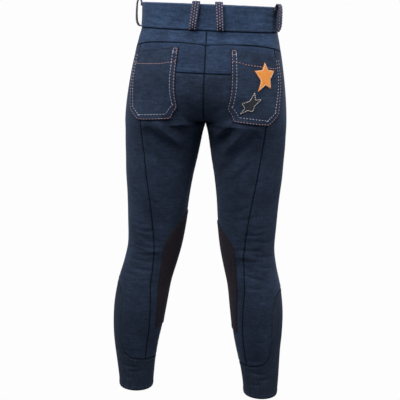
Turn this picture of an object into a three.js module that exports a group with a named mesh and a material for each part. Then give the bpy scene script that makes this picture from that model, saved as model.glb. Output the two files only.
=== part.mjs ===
import * as THREE from 'three';

// Child's riding breeches, size EU 116, filled out as they are when held at the waist.
// Millimetres, +Z up. The front faces -Y and +X is the wearer's left.
// The origin is the centre of the waistband, at half the band's height.

// Heights of the cut
const bandTop = 20;
const bandBottom = -20;
const yokeHeight = -40;
const seatSeamHeight = -82;
const turnHeight = -80;          // here the seat and front begin to turn under towards the legs
const crotchHeight = -169;
const cuffSeamHeight = -587;
const hemHeight = -646;

// Cloth and clearances
const clothWall = 1.8;
const cuffWall = 1.6;
const bandWall = 3;
const bandProud = 1.2;           // the doubled band stands out past the cloth below it
const patchWall = 1.2;
const patchClearance = 0.9;      // what is sewn on lies this far out from the panel below
const seamGap = 0.3;
const legGirth = 290;            // smallest girth, so a share of it is never under the seam gap

// Section shapes
const trunkSquareness = 2.4;     // 2 is an ellipse
const turnSquareness = 2.5;
const ankleTaperStart = -545;
const ankleTaperLength = 100;
const ankleShift = { left: -4, right: 6 };     // the right ankle stands a little further out

// Half widths and depths of the filled-out garment, from the waist down.
const sections = [
  { z: 20, outer: 110, inner: 0, front: -67, back: 66 },
  { z: -20, outer: 111, inner: 0, front: -70, back: 70 },
  { z: -38, outer: 115, inner: 0, front: -72, back: 75 },
  { z: -60, outer: 120, inner: 0, front: -74, back: 80 },
  { z: -100, outer: 127, inner: 0, front: -75, back: 87 },
  { z: -140, outer: 132, inner: 0, front: -73, back: 89 },
  { z: -169, outer: 134, inner: 0, front: -71, back: 84 },
  { z: -188, outer: 134, inner: 4.5, front: -69, back: 73 },
  { z: -208, outer: 134, inner: 8, front: -67, back: 66 },
  { z: -234, outer: 133, inner: 12.5, front: -65, back: 61.5 },
  { z: -262, outer: 132, inner: 18, front: -63, back: 58.5 },
  { z: -300, outer: 129, inner: 23.5, front: -60, back: 54 },
  { z: -345, outer: 127, inner: 28, front: -56, back: 49 },
  { z: -385, outer: 126, inner: 34, front: -51, back: 45 },
  { z: -415, outer: 131, inner: 41, front: -48, back: 45 },
  { z: -450, outer: 140, inner: 50, front: -46, back: 49 },
  { z: -490, outer: 146, inner: 56, front: -43, back: 52 },
  { z: -530, outer: 147, inner: 62, front: -40, back: 49 },
  { z: -565, outer: 145, inner: 69, front: -37, back: 43 },
  { z: -600, outer: 142, inner: 75, front: -34, back: 37 },
  { z: -646, outer: 138, inner: 80, front: -31, back: 32 },
];

// The seam down the back of the leg: its share of the way round from the inseam.
const backSeamLine = [
  { h: -20, share: 0.64 },
  { h: -60, share: 0.647 },
  { h: -165, share: 0.667 },
  { h: -240, share: 0.697 },
  { h: -310, share: 0.731 },
  { h: -385, share: 0.766 },
  { h: -445, share: 0.803 },
  { h: -485, share: 0.83 },
  { h: -530, share: 0.845 },
  { h: -600, share: 0.848 },
];

// The cuff's upper edge, from the tongue's top outwards: share away from the side, and height.
const cuffEdge = [
  { away: 0, h: -452 },
  { away: 0.06, h: -454 },
  { away: 0.105, h: -460 },
  { away: 0.132, h: -471 },
  { away: 0.145, h: -487 },
  { away: 0.151, h: -520 },
  { away: 0.158, h: -556 },
  { away: 0.178, h: -571 },
  { away: 0.215, h: -580 },
  { away: 0.28, h: -584 },
  { away: 0.38, h: -586 },
  { away: 0.5, h: cuffSeamHeight },
];

// Suede-look knee patch: how far it reaches behind and before the inseam.
const kneePatchEdge = [
  { h: -343, behind: 0.025, before: 0.02 },
  { h: -352, behind: 0.085, before: 0.075 },
  { h: -364, behind: 0.142, before: 0.13 },
  { h: -382, behind: 0.178, before: 0.165 },
  { h: -404, behind: 0.173, before: 0.17 },
  { h: -434, behind: 0.156, before: 0.165 },
  { h: -474, behind: 0.131, before: 0.15 },
  { h: -500, behind: 0.118, before: 0.135 },
  { h: -527, behind: 0.108, before: 0.12 },
];
const kneePatchRise = { left: 18, right: 4 };          // how much higher each patch's tip reaches

// Back pocket outline, as a share round from the front and a height.
const pocketTop = { innerShare: 0.908, innerZ: -47, outerShare: 0.62, outerZ: -59 };
const pocketFoot = [
  { along: 0, share: 0.908, z: -141 },
  { along: 0.25, share: 0.831, z: -161 },
  { along: 0.8, share: 0.656, z: -165 },
  { along: 1, share: 0.609, z: -148 },
];
const pocketShift = { left: -0.003, right: 0.005 };    // the inner edges aren't quite alike

// The largest folds, as seen from behind or in front: ends, width and depth; minus is a trough.
const folds = [
  { side: 'left', face: 'back', x1: 68, z1: -160, x2: 24, z2: -188, width: 8, depth: -4 },
  { side: 'left', face: 'back', x1: 94, z1: -176, x2: 34, z2: -222, width: 9, depth: -4 },
  { side: 'left', face: 'back', x1: 84, z1: -168, x2: 32, z2: -206, width: 7, depth: 2 },
  { side: 'left', face: 'back', x1: 100, z1: -368, x2: 62, z2: -374, width: 9, depth: -2.2 },
  { side: 'left', face: 'back', x1: 94, z1: -410, x2: 58, z2: -402, width: 9, depth: -2 },
  { side: 'right', face: 'back', x1: 54, z1: -168, x2: 20, z2: -206, width: 8, depth: -4 },
  { side: 'right', face: 'back', x1: 88, z1: -176, x2: 42, z2: -230, width: 9, depth: -3.6 },
  { side: 'right', face: 'back', x1: 72, z1: -170, x2: 32, z2: -216, width: 7, depth: 2 },
  { side: 'right', face: 'back', x1: 98, z1: -362, x2: 60, z2: -370, width: 9, depth: -2.2 },
  { side: 'right', face: 'back', x1: 96, z1: -414, x2: 60, z2: -404, width: 9, depth: -2 },
  { side: 'left', face: 'front', x1: 12, z1: -158, x2: 62, z2: -138, width: 10, depth: -2.6 },
  { side: 'left', face: 'front', x1: 20, z1: -192, x2: 72, z2: -172, width: 10, depth: -2.2 },
  { side: 'right', face: 'front', x1: 12, z1: -160, x2: 56, z2: -142, width: 10, depth: -2.6 },
  { side: 'right', face: 'front', x1: 22, z1: -196, x2: 76, z2: -178, width: 10, depth: -2.2 },
];
const faceBlend = 30;            // a fold fades out over this depth towards the sides

// Belt loops: each is a strap folded over the band's top that bows out clear of the band. The
// route gives its height and how far out it lies, from its end inside the fold to its foot.
const loopWidth = 12;
const loopWall = 2;
const loopRoute = [
  { h: 14, out: 2.8 },
  { h: 20, out: 3 },
  { h: 24, out: 4.6 },
  { h: 23.8, out: 7.4 },
  { h: 19, out: 9.2 },
  { h: 8, out: 9.8 },
  { h: -4, out: 9.8 },
  { h: -12, out: 8.8 },
  { h: -17, out: 6.2 },
  { h: -19, out: 2.9 },
];
const lowLoopRoute = [           // the front loops stop short of the band's top
  { h: 12.8, out: 2.8 },
  { h: 16, out: 3 },
  { h: 18.4, out: 4.6 },
  { h: 18.2, out: 7.6 },
  { h: 15, out: 9.6 },
  ...loopRoute.slice(5),
];
const loops = [
  { name: 'loop_back_left', side: 'left', share: 0.963, lean: -0.009, route: loopRoute },
  { name: 'loop_back_right', side: 'right', share: 0.964, lean: -0.008, route: loopRoute },
  { name: 'loop_side_left', side: 'left', share: 0.53, lean: -0.02, route: loopRoute },
  { name: 'loop_side_right', side: 'right', share: 0.605, lean: 0, route: loopRoute },
  { name: 'loop_front_left', side: 'left', share: 0.13, lean: 0, route: lowLoopRoute },
  { name: 'loop_front_right', side: 'right', share: 0.13, lean: 0, route: lowLoopRoute },
];

// Waistband lap, fly and button at the centre front
const bandLap = { share: 0.09, liftRun: 0.08, clearance: 0.2 };
const flyCut = { width: 0.105, top: -21, straightEnd: -78, footDrop: 22, from: 0.004 };
const buttonSize = { radius: 8.5, neck: 4, seat: 0.7, backFace: 1.6, rimBack: 2, rimFront: 3.4, height: 4.6 };

// Felt stars on the right pocket: share round from the front, and height of the middle
const starSize = { outerRadius: 19, innerRadius: 9, points: 5, felt: 1, clearance: 0.5 };
const stars = [
  { name: 'star_orange', finish: 'orange', share: 0.746, h: -85 },
  { name: 'star_charcoal', finish: 'charcoal', share: 0.802, h: -117 },
];

// Fineness of the grids: rows and columns
const bandColumns = 46;
const yokeRows = 2;
const seatRows = 3;
const seatColumns = 11;
const cuffRows = 8;
const pocketRows = 12;
const pocketColumns = [0, 0.12, 0.25, 0.34, 0.43, 0.52, 0.61, 0.7, 0.8, 0.9, 1];
const kneePatchGrid = { topRows: 8, lowerRows: 11, columns: 11 };
const flyCells = 5;
const starGrid = { rings: [0.34, 0.68, 1], stepsPerEdge: 2 };
const buttonSegments = 24;

const sides = { left: 1, right: -1 };
const finishes = {
  band: { color: 0x36455e, roughness: 0.9, metalness: 0 },
  yoke: { color: 0x374968, roughness: 0.9, metalness: 0 },
  seat: { color: 0x35465f, roughness: 0.9, metalness: 0 },
  leg: { color: 0x26313f, roughness: 0.9, metalness: 0 },
  pocket: { color: 0x2d3b54, roughness: 0.9, metalness: 0 },
  cuff: { color: 0x212733, roughness: 0.9, metalness: 0 },
  suede: { color: 0x1f1e25, roughness: 0.95, metalness: 0 },
  loop: { color: 0x474c60, roughness: 0.9, metalness: 0 },
  orange: { color: 0xf59a45, roughness: 0.85, metalness: 0 },
  charcoal: { color: 0x23262d, roughness: 0.9, metalness: 0 },
  steel: { color: 0x8d9096, roughness: 0.35, metalness: 1 },
};

const breeches = new THREE.Group();

// Value of a table's column at a place between its rows, on a smooth curve.
function readTable(table, key, column, at) {
  const first = table[0][key];
  const direction = Math.sign(table[1][key] - first);
  const last = table.length - 1;
  const place = (index) => (table[index][key] - first) * direction;
  const slope = (index) => {
    const before = Math.max(index - 1, 0);
    const after = Math.min(index + 1, last);
    return (table[after][column] - table[before][column]) / (place(after) - place(before));
  };
  const x = THREE.MathUtils.clamp((at - first) * direction, 0, place(last));
  let row = 0;
  while (row < last - 1 && x > place(row + 1)) row += 1;
  const span = place(row + 1) - place(row);
  const t = (x - place(row)) / span;
  const startWeight = 2 * t ** 3 - 3 * t ** 2 + 1;
  const startSlope = (t ** 3 - 2 * t ** 2 + t) * span;
  const endSlope = (t ** 3 - t ** 2) * span;
  return table[row][column] * startWeight + table[row + 1][column] * (1 - startWeight)
    + slope(row) * startSlope + slope(row + 1) * endSlope;
}

const signedPower = (value, power) => Math.sign(value) * Math.abs(value) ** power;
const between = (low, high, count) =>
  [...Array(count + 1).keys()].map((index) => low + (high - low) * index / count);

// A point of the smooth cloth. share runs from the centre front (or inseam) at 0, round the
// outer side at 0.5, to the centre back (or inseam) at 1. h is the height at the outer side.
function smoothPoint(side, share, h) {
  const turn = THREE.MathUtils.clamp((turnHeight - h) / (turnHeight - crotchHeight), 0, 1);
  const angle = turn * Math.PI / 2;
  const turnPower = 2 / turnSquareness;
  const sunk = (crotchHeight - turnHeight) * Math.sin(angle) ** turnPower + turnHeight - h;
  const nearCentre = Math.cos(Math.PI * share) ** 2;
  const z = turn > 0 && turn < 1 ? h + nearCentre * sunk : h;
  const centreTurn = 1 - Math.max(Math.cos(angle), 0) ** turnPower;
  const sideTurn = THREE.MathUtils.smoothstep(turn, 0, 1);
  const legShare = turn < 1 ? nearCentre * centreTurn + (1 - nearCentre) * sideTurn : 1;

  const outer = readTable(sections, 'z', 'outer', z);
  const inner = turn < 1 ? 0 : readTable(sections, 'z', 'inner', z);
  const front = readTable(sections, 'z', 'front', z);
  const back = readTable(sections, 'z', 'back', z);
  const middle = (front + back) / 2;
  const depth = (back - front) / 2;
  const trunkPower = 2 / trunkSquareness;
  const trunkX = outer * signedPower(Math.sin(Math.PI * share), trunkPower);
  const trunkY = middle - depth * signedPower(Math.cos(Math.PI * share), trunkPower);
  const legX = (outer + inner) / 2 - (outer - inner) / 2 * Math.cos(2 * Math.PI * share);
  const legY = middle - depth * Math.sin(2 * Math.PI * share);
  const shift = ankleShift[side] * THREE.MathUtils.smoothstep((ankleTaperStart - z) / ankleTaperLength, 0, 1);
  const x = THREE.MathUtils.lerp(trunkX, legX, legShare) + shift;
  const y = THREE.MathUtils.lerp(trunkY, legY, legShare);
  return new THREE.Vector3(sides[side] * x, y, z);
}

// How far the folds push the cloth out (plus) or in (minus) at a point.
function foldLift(side, point) {
  const x = point.x * sides[side];
  const front = readTable(sections, 'z', 'front', point.z);
  const back = readTable(sections, 'z', 'back', point.z);
  const middle = (front + back) / 2;
  let lift = 0;
  for (const fold of folds.filter((row) => row.side === side)) {
    const facing = fold.face === 'back' ? 1 : -1;
    const weight = THREE.MathUtils.smoothstep((point.y - middle) * facing / faceBlend, 0, 1);
    const runX = fold.x2 - fold.x1;
    const runZ = fold.z2 - fold.z1;
    const share = ((x - fold.x1) * runX + (point.z - fold.z1) * runZ) / (runX ** 2 + runZ ** 2);
    const along = THREE.MathUtils.clamp(share, 0, 1);
    const distance = Math.hypot(x - fold.x1 - along * runX, point.z - fold.z1 - along * runZ);
    const taper = 1 - Math.abs(2 * along - 1) ** 3;
    lift += weight * fold.depth * taper * Math.exp(-((distance / fold.width) ** 2));
  }
  return lift;
}

// The outward direction of the smooth cloth.
function outward(side, share, h) {
  const shareStep = 0.002;
  const heightStep = 0.5;
  const acrossStep = smoothPoint(side, share + shareStep, h).sub(smoothPoint(side, share - shareStep, h));
  const upStep = smoothPoint(side, share, h + heightStep).sub(smoothPoint(side, share, h - heightStep));
  return acrossStep.cross(upStep).multiplyScalar(sides[side]).normalize();
}

// A point of the folded cloth, moved out by a distance.
function clothPoint(side, share, h, out) {
  const point = smoothPoint(side, share, h);
  return point.addScaledVector(outward(side, share, h), out + foldLift(side, point));
}

// Keeps a panel's point on its own side of the centre seam.
function keepToSide(side, point) {
  point.x = sides[side] * Math.max(point.x * sides[side], seamGap / 2);
  return point;
}

// The h at which the cloth has a given height z, at one share round it.
function heightFor(side, share, z) {
  let high = bandTop;
  let low = hemHeight;
  for (let step = 0; step < 40; step += 1) {
    const middle = (high + low) / 2;
    if (smoothPoint(side, share, middle).z > z) high = middle;
    else low = middle;
  }
  return (high + low) / 2;
}

// Closes a grid of outer points and a like grid of inner points into one wall.
function addWall(name, finish, outer, inner, ring = false) {
  const rows = outer.length;
  const columns = outer[0].length;
  const points = [...outer.flat(), ...inner.flat()];
  const innerStart = rows * columns;
  const at = (row, column) => row * columns + (column % columns);
  const triangles = [];
  const quad = (a, b, c, d) => triangles.push([a, b, c], [a, c, d]);
  const spans = ring ? columns : columns - 1;
  for (let row = 0; row < rows - 1; row += 1) {
    for (let column = 0; column < spans; column += 1) {
      const corners = [at(row, column), at(row + 1, column), at(row + 1, column + 1), at(row, column + 1)];
      quad(...corners);
      quad(...corners.reverse().map((corner) => corner + innerStart));
    }
  }
  for (let column = 0; column < spans; column += 1) {
    for (const [row, from, to] of [[0, column, column + 1], [rows - 1, column + 1, column]]) {
      quad(at(row, from), at(row, to), at(row, to) + innerStart, at(row, from) + innerStart);
    }
  }
  for (let row = 0; row < rows - 1 && !ring; row += 1) {
    for (const [column, from, to] of [[0, row + 1, row], [columns - 1, row, row + 1]]) {
      quad(at(from, column), at(to, column), at(to, column) + innerStart, at(from, column) + innerStart);
    }
  }
  addSolid(name, finish, points, triangles);
}

// Makes one named mesh, with its faces turned outwards.
function addSolid(name, finish, points, triangles) {
  const volume = triangles.reduce((sum, [a, b, c]) =>
    sum + points[a].dot(new THREE.Vector3().crossVectors(points[b], points[c])) / 6, 0);
  const facing = volume > 0 ? triangles : triangles.map(([a, b, c]) => [a, c, b]);
  const geometry = new THREE.BufferGeometry().setFromPoints(points);
  geometry.setIndex(facing.flat());
  geometry.computeVertexNormals();
  const mesh = new THREE.Mesh(geometry, new THREE.MeshStandardMaterial(finishes[finish]));
  mesh.name = name;
  breeches.add(mesh);
}

// Fills the space between four edges with a grid of [share, h] places. top and bottom have one
// place a column, start and end one place a row.
function fillEdges(top, bottom, start, end) {
  const lastColumn = top.length - 1;
  const lastRow = start.length - 1;
  const drop = start[0][1] - start[lastRow][1];
  return start.map((startPlace, row) => top.map((topPlace, column) => {
    const u = column / lastColumn;
    const v = (start[0][1] - startPlace[1]) / drop;
    return [0, 1].map((axis) => {
      const upDown = topPlace[axis] * (1 - v) + bottom[column][axis] * v;
      const across = startPlace[axis] * (1 - u) + end[row][axis] * u;
      const upperCorners = top[0][axis] * (1 - u) + top[lastColumn][axis] * u;
      const lowerCorners = bottom[0][axis] * (1 - u) + bottom[lastColumn][axis] * u;
      return upDown + across - upperCorners * (1 - v) - lowerCorners * v;
    });
  }));
}

// A panel of cloth on a grid of places, with its outer face moved out by a distance.
function addPanel(name, finish, side, grid, out = 0, thickness = clothWall) {
  const layer = (distance) => grid.map((row) => row.map(([share, h]) =>
    keepToSide(side, clothPoint(side, share, h, distance))));
  addWall(name, finish, layer(out), layer(out - thickness));
}

// Rows of the leg panels stand closer where the cloth turns and folds.
const rowSpacing = [
  { from: seatSeamHeight, to: -110, step: 14 },
  { from: -110, to: -235, step: 12.5 },
  { from: -235, to: -355, step: 30 },
  { from: -355, to: -425, step: 14 },
  { from: -425, to: cuffSeamHeight, step: 27 },
];

// Each row's share of the way from the seat seam down to the cuff.
const legRows = rowSpacing.flatMap(({ from, to, step }) => {
  const count = Math.round((from - to) / step);
  return between(from, to, count).slice(0, -1);
}).map((h) => (seatSeamHeight - h) / (seatSeamHeight - cuffSeamHeight)).concat(1);

// Seams shared by neighbours
const halfGap = seamGap / 2;
const halfGapShare = halfGap / legGirth;
const yokeEnd = { topShare: 0.5, footShare: 0.545 };
const tongueClearHeight = -438;  // above the cuff's tongue, where the front panel's columns are even
const backSeam = (h) => readTable(backSeamLine, 'h', 'share', h);
const cuffTop = (share) => readTable(cuffEdge, 'away', 'h', Math.abs(share - 0.5));

function yokeSeam(share) {
  const flatShare = 0.88;
  const sideDip = 11;
  const centreDip = 2.5;
  const dip = share < flatShare
    ? sideDip * ((flatShare - share) / (flatShare - yokeEnd.footShare)) ** 2
    : centreDip * ((share - flatShare) / (1 - flatShare)) ** 2;
  return yokeHeight - dip;
}

const backSeamStart = backSeam(yokeSeam(backSeam(yokeHeight)));
const backSeamFoot = backSeam(cuffSeamHeight);
const sideColumns = cuffEdge.filter((row) => row.away > 0 && row.away < backSeamFoot - 0.5).length;

// Heights of the rows between two seams, with half a gap left at each end.
function rowHeights(top, bottom, parts) {
  const heights = parts.map((part) => THREE.MathUtils.lerp(top, bottom, part));
  heights[0] -= halfGap;
  heights[heights.length - 1] += halfGap;
  return heights;
}

// Places along the cuff's upper edge from the front inseam to a last share, moved down by a gap.
function cuffSeam(lastShare, gap) {
  const mirrored = [...cuffEdge].reverse().map((row) => ({ share: 0.5 - row.away, h: row.h }));
  const outwards = cuffEdge.slice(1).map((row) => ({ share: 0.5 + row.away, h: row.h }));
  const edge = [...mirrored, ...outwards].filter((row) => row.share < lastShare);
  edge.push({ share: lastShare, h: cuffTop(lastShare) });
  return edge.map((row, index) => {
    const before = edge[Math.max(index - 1, 0)];
    const after = edge[Math.min(index + 1, edge.length - 1)];
    const run = (after.share - before.share) * legGirth;
    const rise = after.h - before.h;
    const length = Math.hypot(run, rise);
    return [row.share + rise / length * gap / legGirth, row.h - run / length * gap];
  });
}

// Front panel: from the centre front and inseam, round the outer side to the seam behind. It is
// laid out in two stretches, because the columns fan out round the cuff's tongue in the lower one.
function addFrontPanel(side) {
  const foot = cuffSeam(backSeamFoot - halfGapShare, -halfGap);
  foot[0][0] = halfGapShare;
  const frontColumns = foot.length - 2 - sideColumns;
  const top = [
    ...between(halfGapShare, yokeEnd.topShare - halfGapShare, frontColumns)
      .map((share) => [share, bandBottom - halfGap]),
    ...between(yokeEnd.footShare, backSeamStart, sideColumns)
      .map((share) => [share - halfGapShare, yokeSeam(share) - halfGap]),
  ];
  const seatParts = between(0, 1, seatRows).slice(0, -1);
  const edgeHeights = (first, last) => {
    const heights = [
      ...seatParts.map((part) => THREE.MathUtils.lerp(first, seatSeamHeight, part)),
      ...legRows.map((part) => THREE.MathUtils.lerp(seatSeamHeight, last, part)),
    ];
    heights[0] -= halfGap;
    heights[heights.length - 1] += halfGap;
    return heights;
  };
  const start = edgeHeights(bandBottom, cuffSeamHeight).map((h) => [halfGapShare, h]);
  const end = edgeHeights(yokeSeam(backSeamStart), cuffTop(backSeamFoot))
    .map((h) => [backSeam(h) - halfGapShare, h]);
  start[start.length - 1] = foot[0];
  end[0] = top.at(-1);
  end[end.length - 1] = foot.at(-1);
  const split = start.findIndex(([, h]) => h < tongueClearHeight);
  const middle = [
    ...between(start[split][0], yokeEnd.topShare, frontColumns),
    ...between(yokeEnd.topShare, end[split][0], sideColumns + 1).slice(1),
  ].map((share, column) => {
    const part = column / (foot.length - 1);
    return [share, THREE.MathUtils.lerp(start[split][1], end[split][1], part)];
  });
  const upper = fillEdges(top, middle, start.slice(0, split + 1), end.slice(0, split + 1));
  const lower = fillEdges(middle, foot, start.slice(split), end.slice(split));
  addPanel(`leg_front_${side}`, 'leg', side, [...upper, ...lower.slice(1)]);
}

// Yoke: from the band down to the yoke seam, side to centre back.
function addYoke(side) {
  const footShares = [
    ...between(yokeEnd.footShare, backSeamStart, sideColumns),
    ...between(backSeamStart, 1, seatColumns).slice(1),
  ];
  const bottom = footShares.map((share) => [share, yokeSeam(share) + halfGap]);
  const spread = (1 - yokeEnd.topShare) / (1 - yokeEnd.footShare);
  const top = footShares.map((share) => [1 - (1 - share) * spread, bandBottom - halfGap]);
  for (const edge of [top, bottom]) edge[0][0] += halfGapShare;
  const run = (column) => between(0, 1, yokeRows).map((part) => [0, 1].map((axis) =>
    THREE.MathUtils.lerp(top.at(column)[axis], bottom.at(column)[axis], part)));
  addPanel(`yoke_${side}`, 'yoke', side, fillEdges(top, bottom, run(0), run(-1)));
}

// A panel that lies between the seam behind the leg and the centre back or inseam.
function addBackPanel(name, finish, side, topHeight, bottomHeight, rowParts) {
  const endShare = (h) => (h > crotchHeight ? 1 : 1 - halfGapShare);
  const edge = (heightAt, gap) => {
    const first = backSeam(heightAt(backSeam(heightAt(backSeamStart)))) + halfGapShare;
    return between(first, endShare(heightAt(1)), seatColumns).map((share) => [share, heightAt(share) + gap]);
  };
  const top = edge(topHeight, -halfGap);
  const bottom = edge(bottomHeight, halfGap);
  const down = (first, last) => rowHeights(first, last, rowParts);
  const start = down(top[0][1] + halfGap, bottom[0][1] - halfGap).map((h) => [backSeam(h) + halfGapShare, h]);
  const end = down(topHeight(1), bottomHeight(1)).map((h) => [endShare(h), h]);
  addPanel(name, finish, side, fillEdges(top, bottom, start, end));
}

// Cuff: a ring round the ankle, drawn up into a tongue on the outer side.
function addCuff(side) {
  const top = cuffSeam(1, halfGap).slice(0, -1);
  const edge = top.map(([share, h], column) => {
    const even = (share + column / top.length) / 2;
    return between(0, 1, cuffRows).map((v) => [
      THREE.MathUtils.lerp(share, even, v ** 2),
      THREE.MathUtils.lerp(h, hemHeight, v),
    ]);
  });
  const layer = (out) => between(0, cuffRows, cuffRows).map((row) =>
    edge.map((column) => clothPoint(side, column[row][0], column[row][1], out)));
  addWall(`cuff_${side}`, 'cuff', layer(0), layer(-cuffWall), true);
}

// Waistband: from the centre front round the right, the back and the left, and over its own end.
function addWaistband() {
  const overlapLift = bandWall + seamGap + bandLap.clearance;
  const layer = (out) => between(bandTop, bandBottom + halfGap, 1).map((h) =>
    between(0, 2 + bandLap.share, bandColumns).map((way) => {
      const lift = overlapLift * THREE.MathUtils.smoothstep(way, 2 - bandLap.liftRun, 2);
      return way < 1 ? clothPoint('right', way, h, out) : clothPoint('left', 2 - way, h, out + lift);
    }));
  addWall('waistband', 'band', layer(bandProud), layer(bandProud - bandWall));
  return bandProud + overlapLift;
}

// Belt loop: a strap folded over the band's top.
function addLoop({ name, side, share, lean, route }) {
  const shareStep = 0.01;
  const stepLength = clothPoint(side, share - shareStep, 0, bandProud)
    .distanceTo(clothPoint(side, share + shareStep, 0, bandProud));
  const halfShare = loopWidth / 2 * (2 * shareStep) / stepLength;
  const layer = (offset) => route.map((place, index) => {
    const before = route[Math.max(index - 1, 0)];
    const after = route[Math.min(index + 1, route.length - 1)];
    const run = after.h - before.h;
    const rise = after.out - before.out;
    const length = Math.hypot(run, rise);
    const h = place.h + rise / length * offset;
    const out = place.out - run / length * offset;
    const middle = share + lean * (bandTop - place.h) / (bandTop - bandBottom);
    return [-halfShare, 0, halfShare].map((across) => clothPoint(side, middle + across, h, out));
  });
  addWall(name, 'loop', layer(loopWall / 2), layer(-loopWall / 2));
}

// Patch pocket on the seat, with its lower corners cut off.
function pocketPlace(side, along, v) {
  const next = pocketFoot.findIndex((row, index) => index > 0 && row.along >= along);
  const from = pocketFoot[next - 1];
  const to = pocketFoot[next];
  const part = (along - from.along) / (to.along - from.along);
  const footShare = THREE.MathUtils.lerp(from.share, to.share, part);
  const footZ = THREE.MathUtils.lerp(from.z, to.z, part);
  const topShare = THREE.MathUtils.lerp(pocketTop.innerShare, pocketTop.outerShare, along);
  const topZ = THREE.MathUtils.lerp(pocketTop.innerZ, pocketTop.outerZ, along);
  const share = THREE.MathUtils.lerp(topShare, footShare, v) + pocketShift[side] * (1 - along);
  return [share, heightFor(side, share, THREE.MathUtils.lerp(topZ, footZ, v))];
}

function addPocket(side) {
  const grid = between(0, 1, pocketRows)
    .map((v) => pocketColumns.map((along) => pocketPlace(side, along, v)));
  addPanel(`pocket_${side}`, 'pocket', side, grid, patchClearance + patchWall, patchWall);
}

// Knee patch: wraps the inner knee, across the inseam.
function addKneePatch(side) {
  const roundedEnd = 3;          // the row below the rounded top, where the patch is widest
  const tip = kneePatchEdge[0].h;
  const widest = kneePatchEdge[roundedEnd].h;
  const heights = [
    ...between(tip, widest, kneePatchGrid.topRows).slice(0, -1),
    ...between(widest, kneePatchEdge.at(-1).h, kneePatchGrid.lowerRows),
  ];
  const reach = (column, h) => readTable(kneePatchEdge, 'h', column, h);
  const raised = (h) => h + kneePatchRise[side] * Math.max((h - widest) / (tip - widest), 0);
  const grid = heights.map((h) =>
    between(1 - reach('behind', h), 1 + reach('before', h), kneePatchGrid.columns)
      .map((share) => [share, raised(h)]));
  addPanel(`knee_patch_${side}`, 'suede', side, grid, patchClearance + patchWall, patchWall);
}

// Fly facing: stitched to the left front, with a rounded foot.
function addFly() {
  const grid = between(0, 1, flyCells).map((v) => between(0, 1, flyCells).map((u) => {
    const foot = flyCut.straightEnd - flyCut.footDrop * Math.sqrt(1 - u ** 2);
    return [flyCut.from + flyCut.width * u, THREE.MathUtils.lerp(flyCut.top, foot, v)];
  }));
  addPanel('fly', 'seat', 'left', grid, patchClearance + patchWall, patchWall);
}

// Five-pointed star of felt, laid on the right pocket.
function addStar({ name, finish, share, h }) {
  const { outerRadius, innerRadius, points, felt } = starSize;
  const { rings, stepsPerEdge } = starGrid;
  const out = patchClearance + patchWall + starSize.clearance;
  const shareStep = 0.01;
  const perShare = smoothPoint('right', share - shareStep, h)
    .distanceTo(smoothPoint('right', share + shareStep, h)) / (2 * shareStep);
  const corners = between(0, points * 2 - 1, points * 2 - 1).map((corner) => {
    const radius = corner % 2 === 0 ? outerRadius : innerRadius;
    const angle = Math.PI * corner / points;
    return new THREE.Vector2(Math.sin(angle) * radius, Math.cos(angle) * radius);
  });
  const outline = corners.flatMap((corner, index) => between(0, 1 - 1 / stepsPerEdge, stepsPerEdge - 1)
    .map((part) => corner.clone().lerp(corners[(index + 1) % corners.length], part)));
  const place = (flat, distance) => clothPoint('right', share + flat.x / perShare, h + flat.y, distance);
  const middle = new THREE.Vector2(0, 0);
  const layer = (distance) => [
    place(middle, distance),
    ...rings.flatMap((ring) => outline.map((flat) => place(flat.clone().multiplyScalar(ring), distance))),
  ];
  const solidPoints = [...layer(out + felt), ...layer(out)];
  const lowerStart = solidPoints.length / 2;
  const count = outline.length;
  const at = (ring, index) => 1 + ring * count + index % count;
  const triangles = [];
  for (let index = 0; index < count; index += 1) {
    const faces = [[0, at(0, index), at(0, index + 1)]];
    for (let ring = 0; ring < rings.length - 1; ring += 1) {
      faces.push([at(ring, index), at(ring + 1, index), at(ring + 1, index + 1)]);
      faces.push([at(ring, index), at(ring + 1, index + 1), at(ring, index + 1)]);
    }
    triangles.push(...faces, ...faces.map(([a, b, c]) => [a + lowerStart, c + lowerStart, b + lowerStart]));
    const rim = [at(rings.length - 1, index), at(rings.length - 1, index + 1)];
    triangles.push([rim[0], rim[0] + lowerStart, rim[1] + lowerStart]);
    triangles.push([rim[0], rim[1] + lowerStart, rim[1]]);
  }
  addSolid(name, finish, solidPoints, triangles);
}

// Shank button at the centre front, on the band's lapped end.
function addButton(bandFace) {
  const { radius, neck, seat, backFace, rimBack, rimFront, height } = buttonSize;
  const rimWidth = 1.2;
  const rimTop = 4.2;
  const profile = [
    new THREE.Vector2(0, seat),
    new THREE.Vector2(neck, seat),
    new THREE.Vector2(neck, backFace),
    new THREE.Vector2(radius, rimBack),
    new THREE.Vector2(radius, rimFront),
    new THREE.Vector2(radius - rimWidth, rimTop),
    new THREE.Vector2(0, height),
  ];
  const button = new THREE.Mesh(
    new THREE.LatheGeometry(profile, buttonSegments),
    new THREE.MeshStandardMaterial(finishes.steel),
  );
  button.name = 'waist_button';
  button.position.set(0, clothPoint('left', 0, 0, bandFace).y, 0);
  button.rotation.x = Math.PI;
  breeches.add(button);
}

const bandFace = addWaistband();
for (const side of Object.keys(sides)) {
  addYoke(side);
  addFrontPanel(side);
  addBackPanel(`seat_${side}`, 'seat', side, yokeSeam, () => seatSeamHeight, between(0, 1, seatRows));
  addBackPanel(`leg_back_${side}`, 'leg', side, () => seatSeamHeight, cuffTop, legRows);
  addCuff(side);
  addPocket(side);
  addKneePatch(side);
}
addFly();
addButton(bandFace);
loops.forEach(addLoop);
stars.forEach(addStar);

export default breeches;
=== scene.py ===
import math

import bpy
import numpy as np
from mathutils import Matrix, Vector


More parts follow.
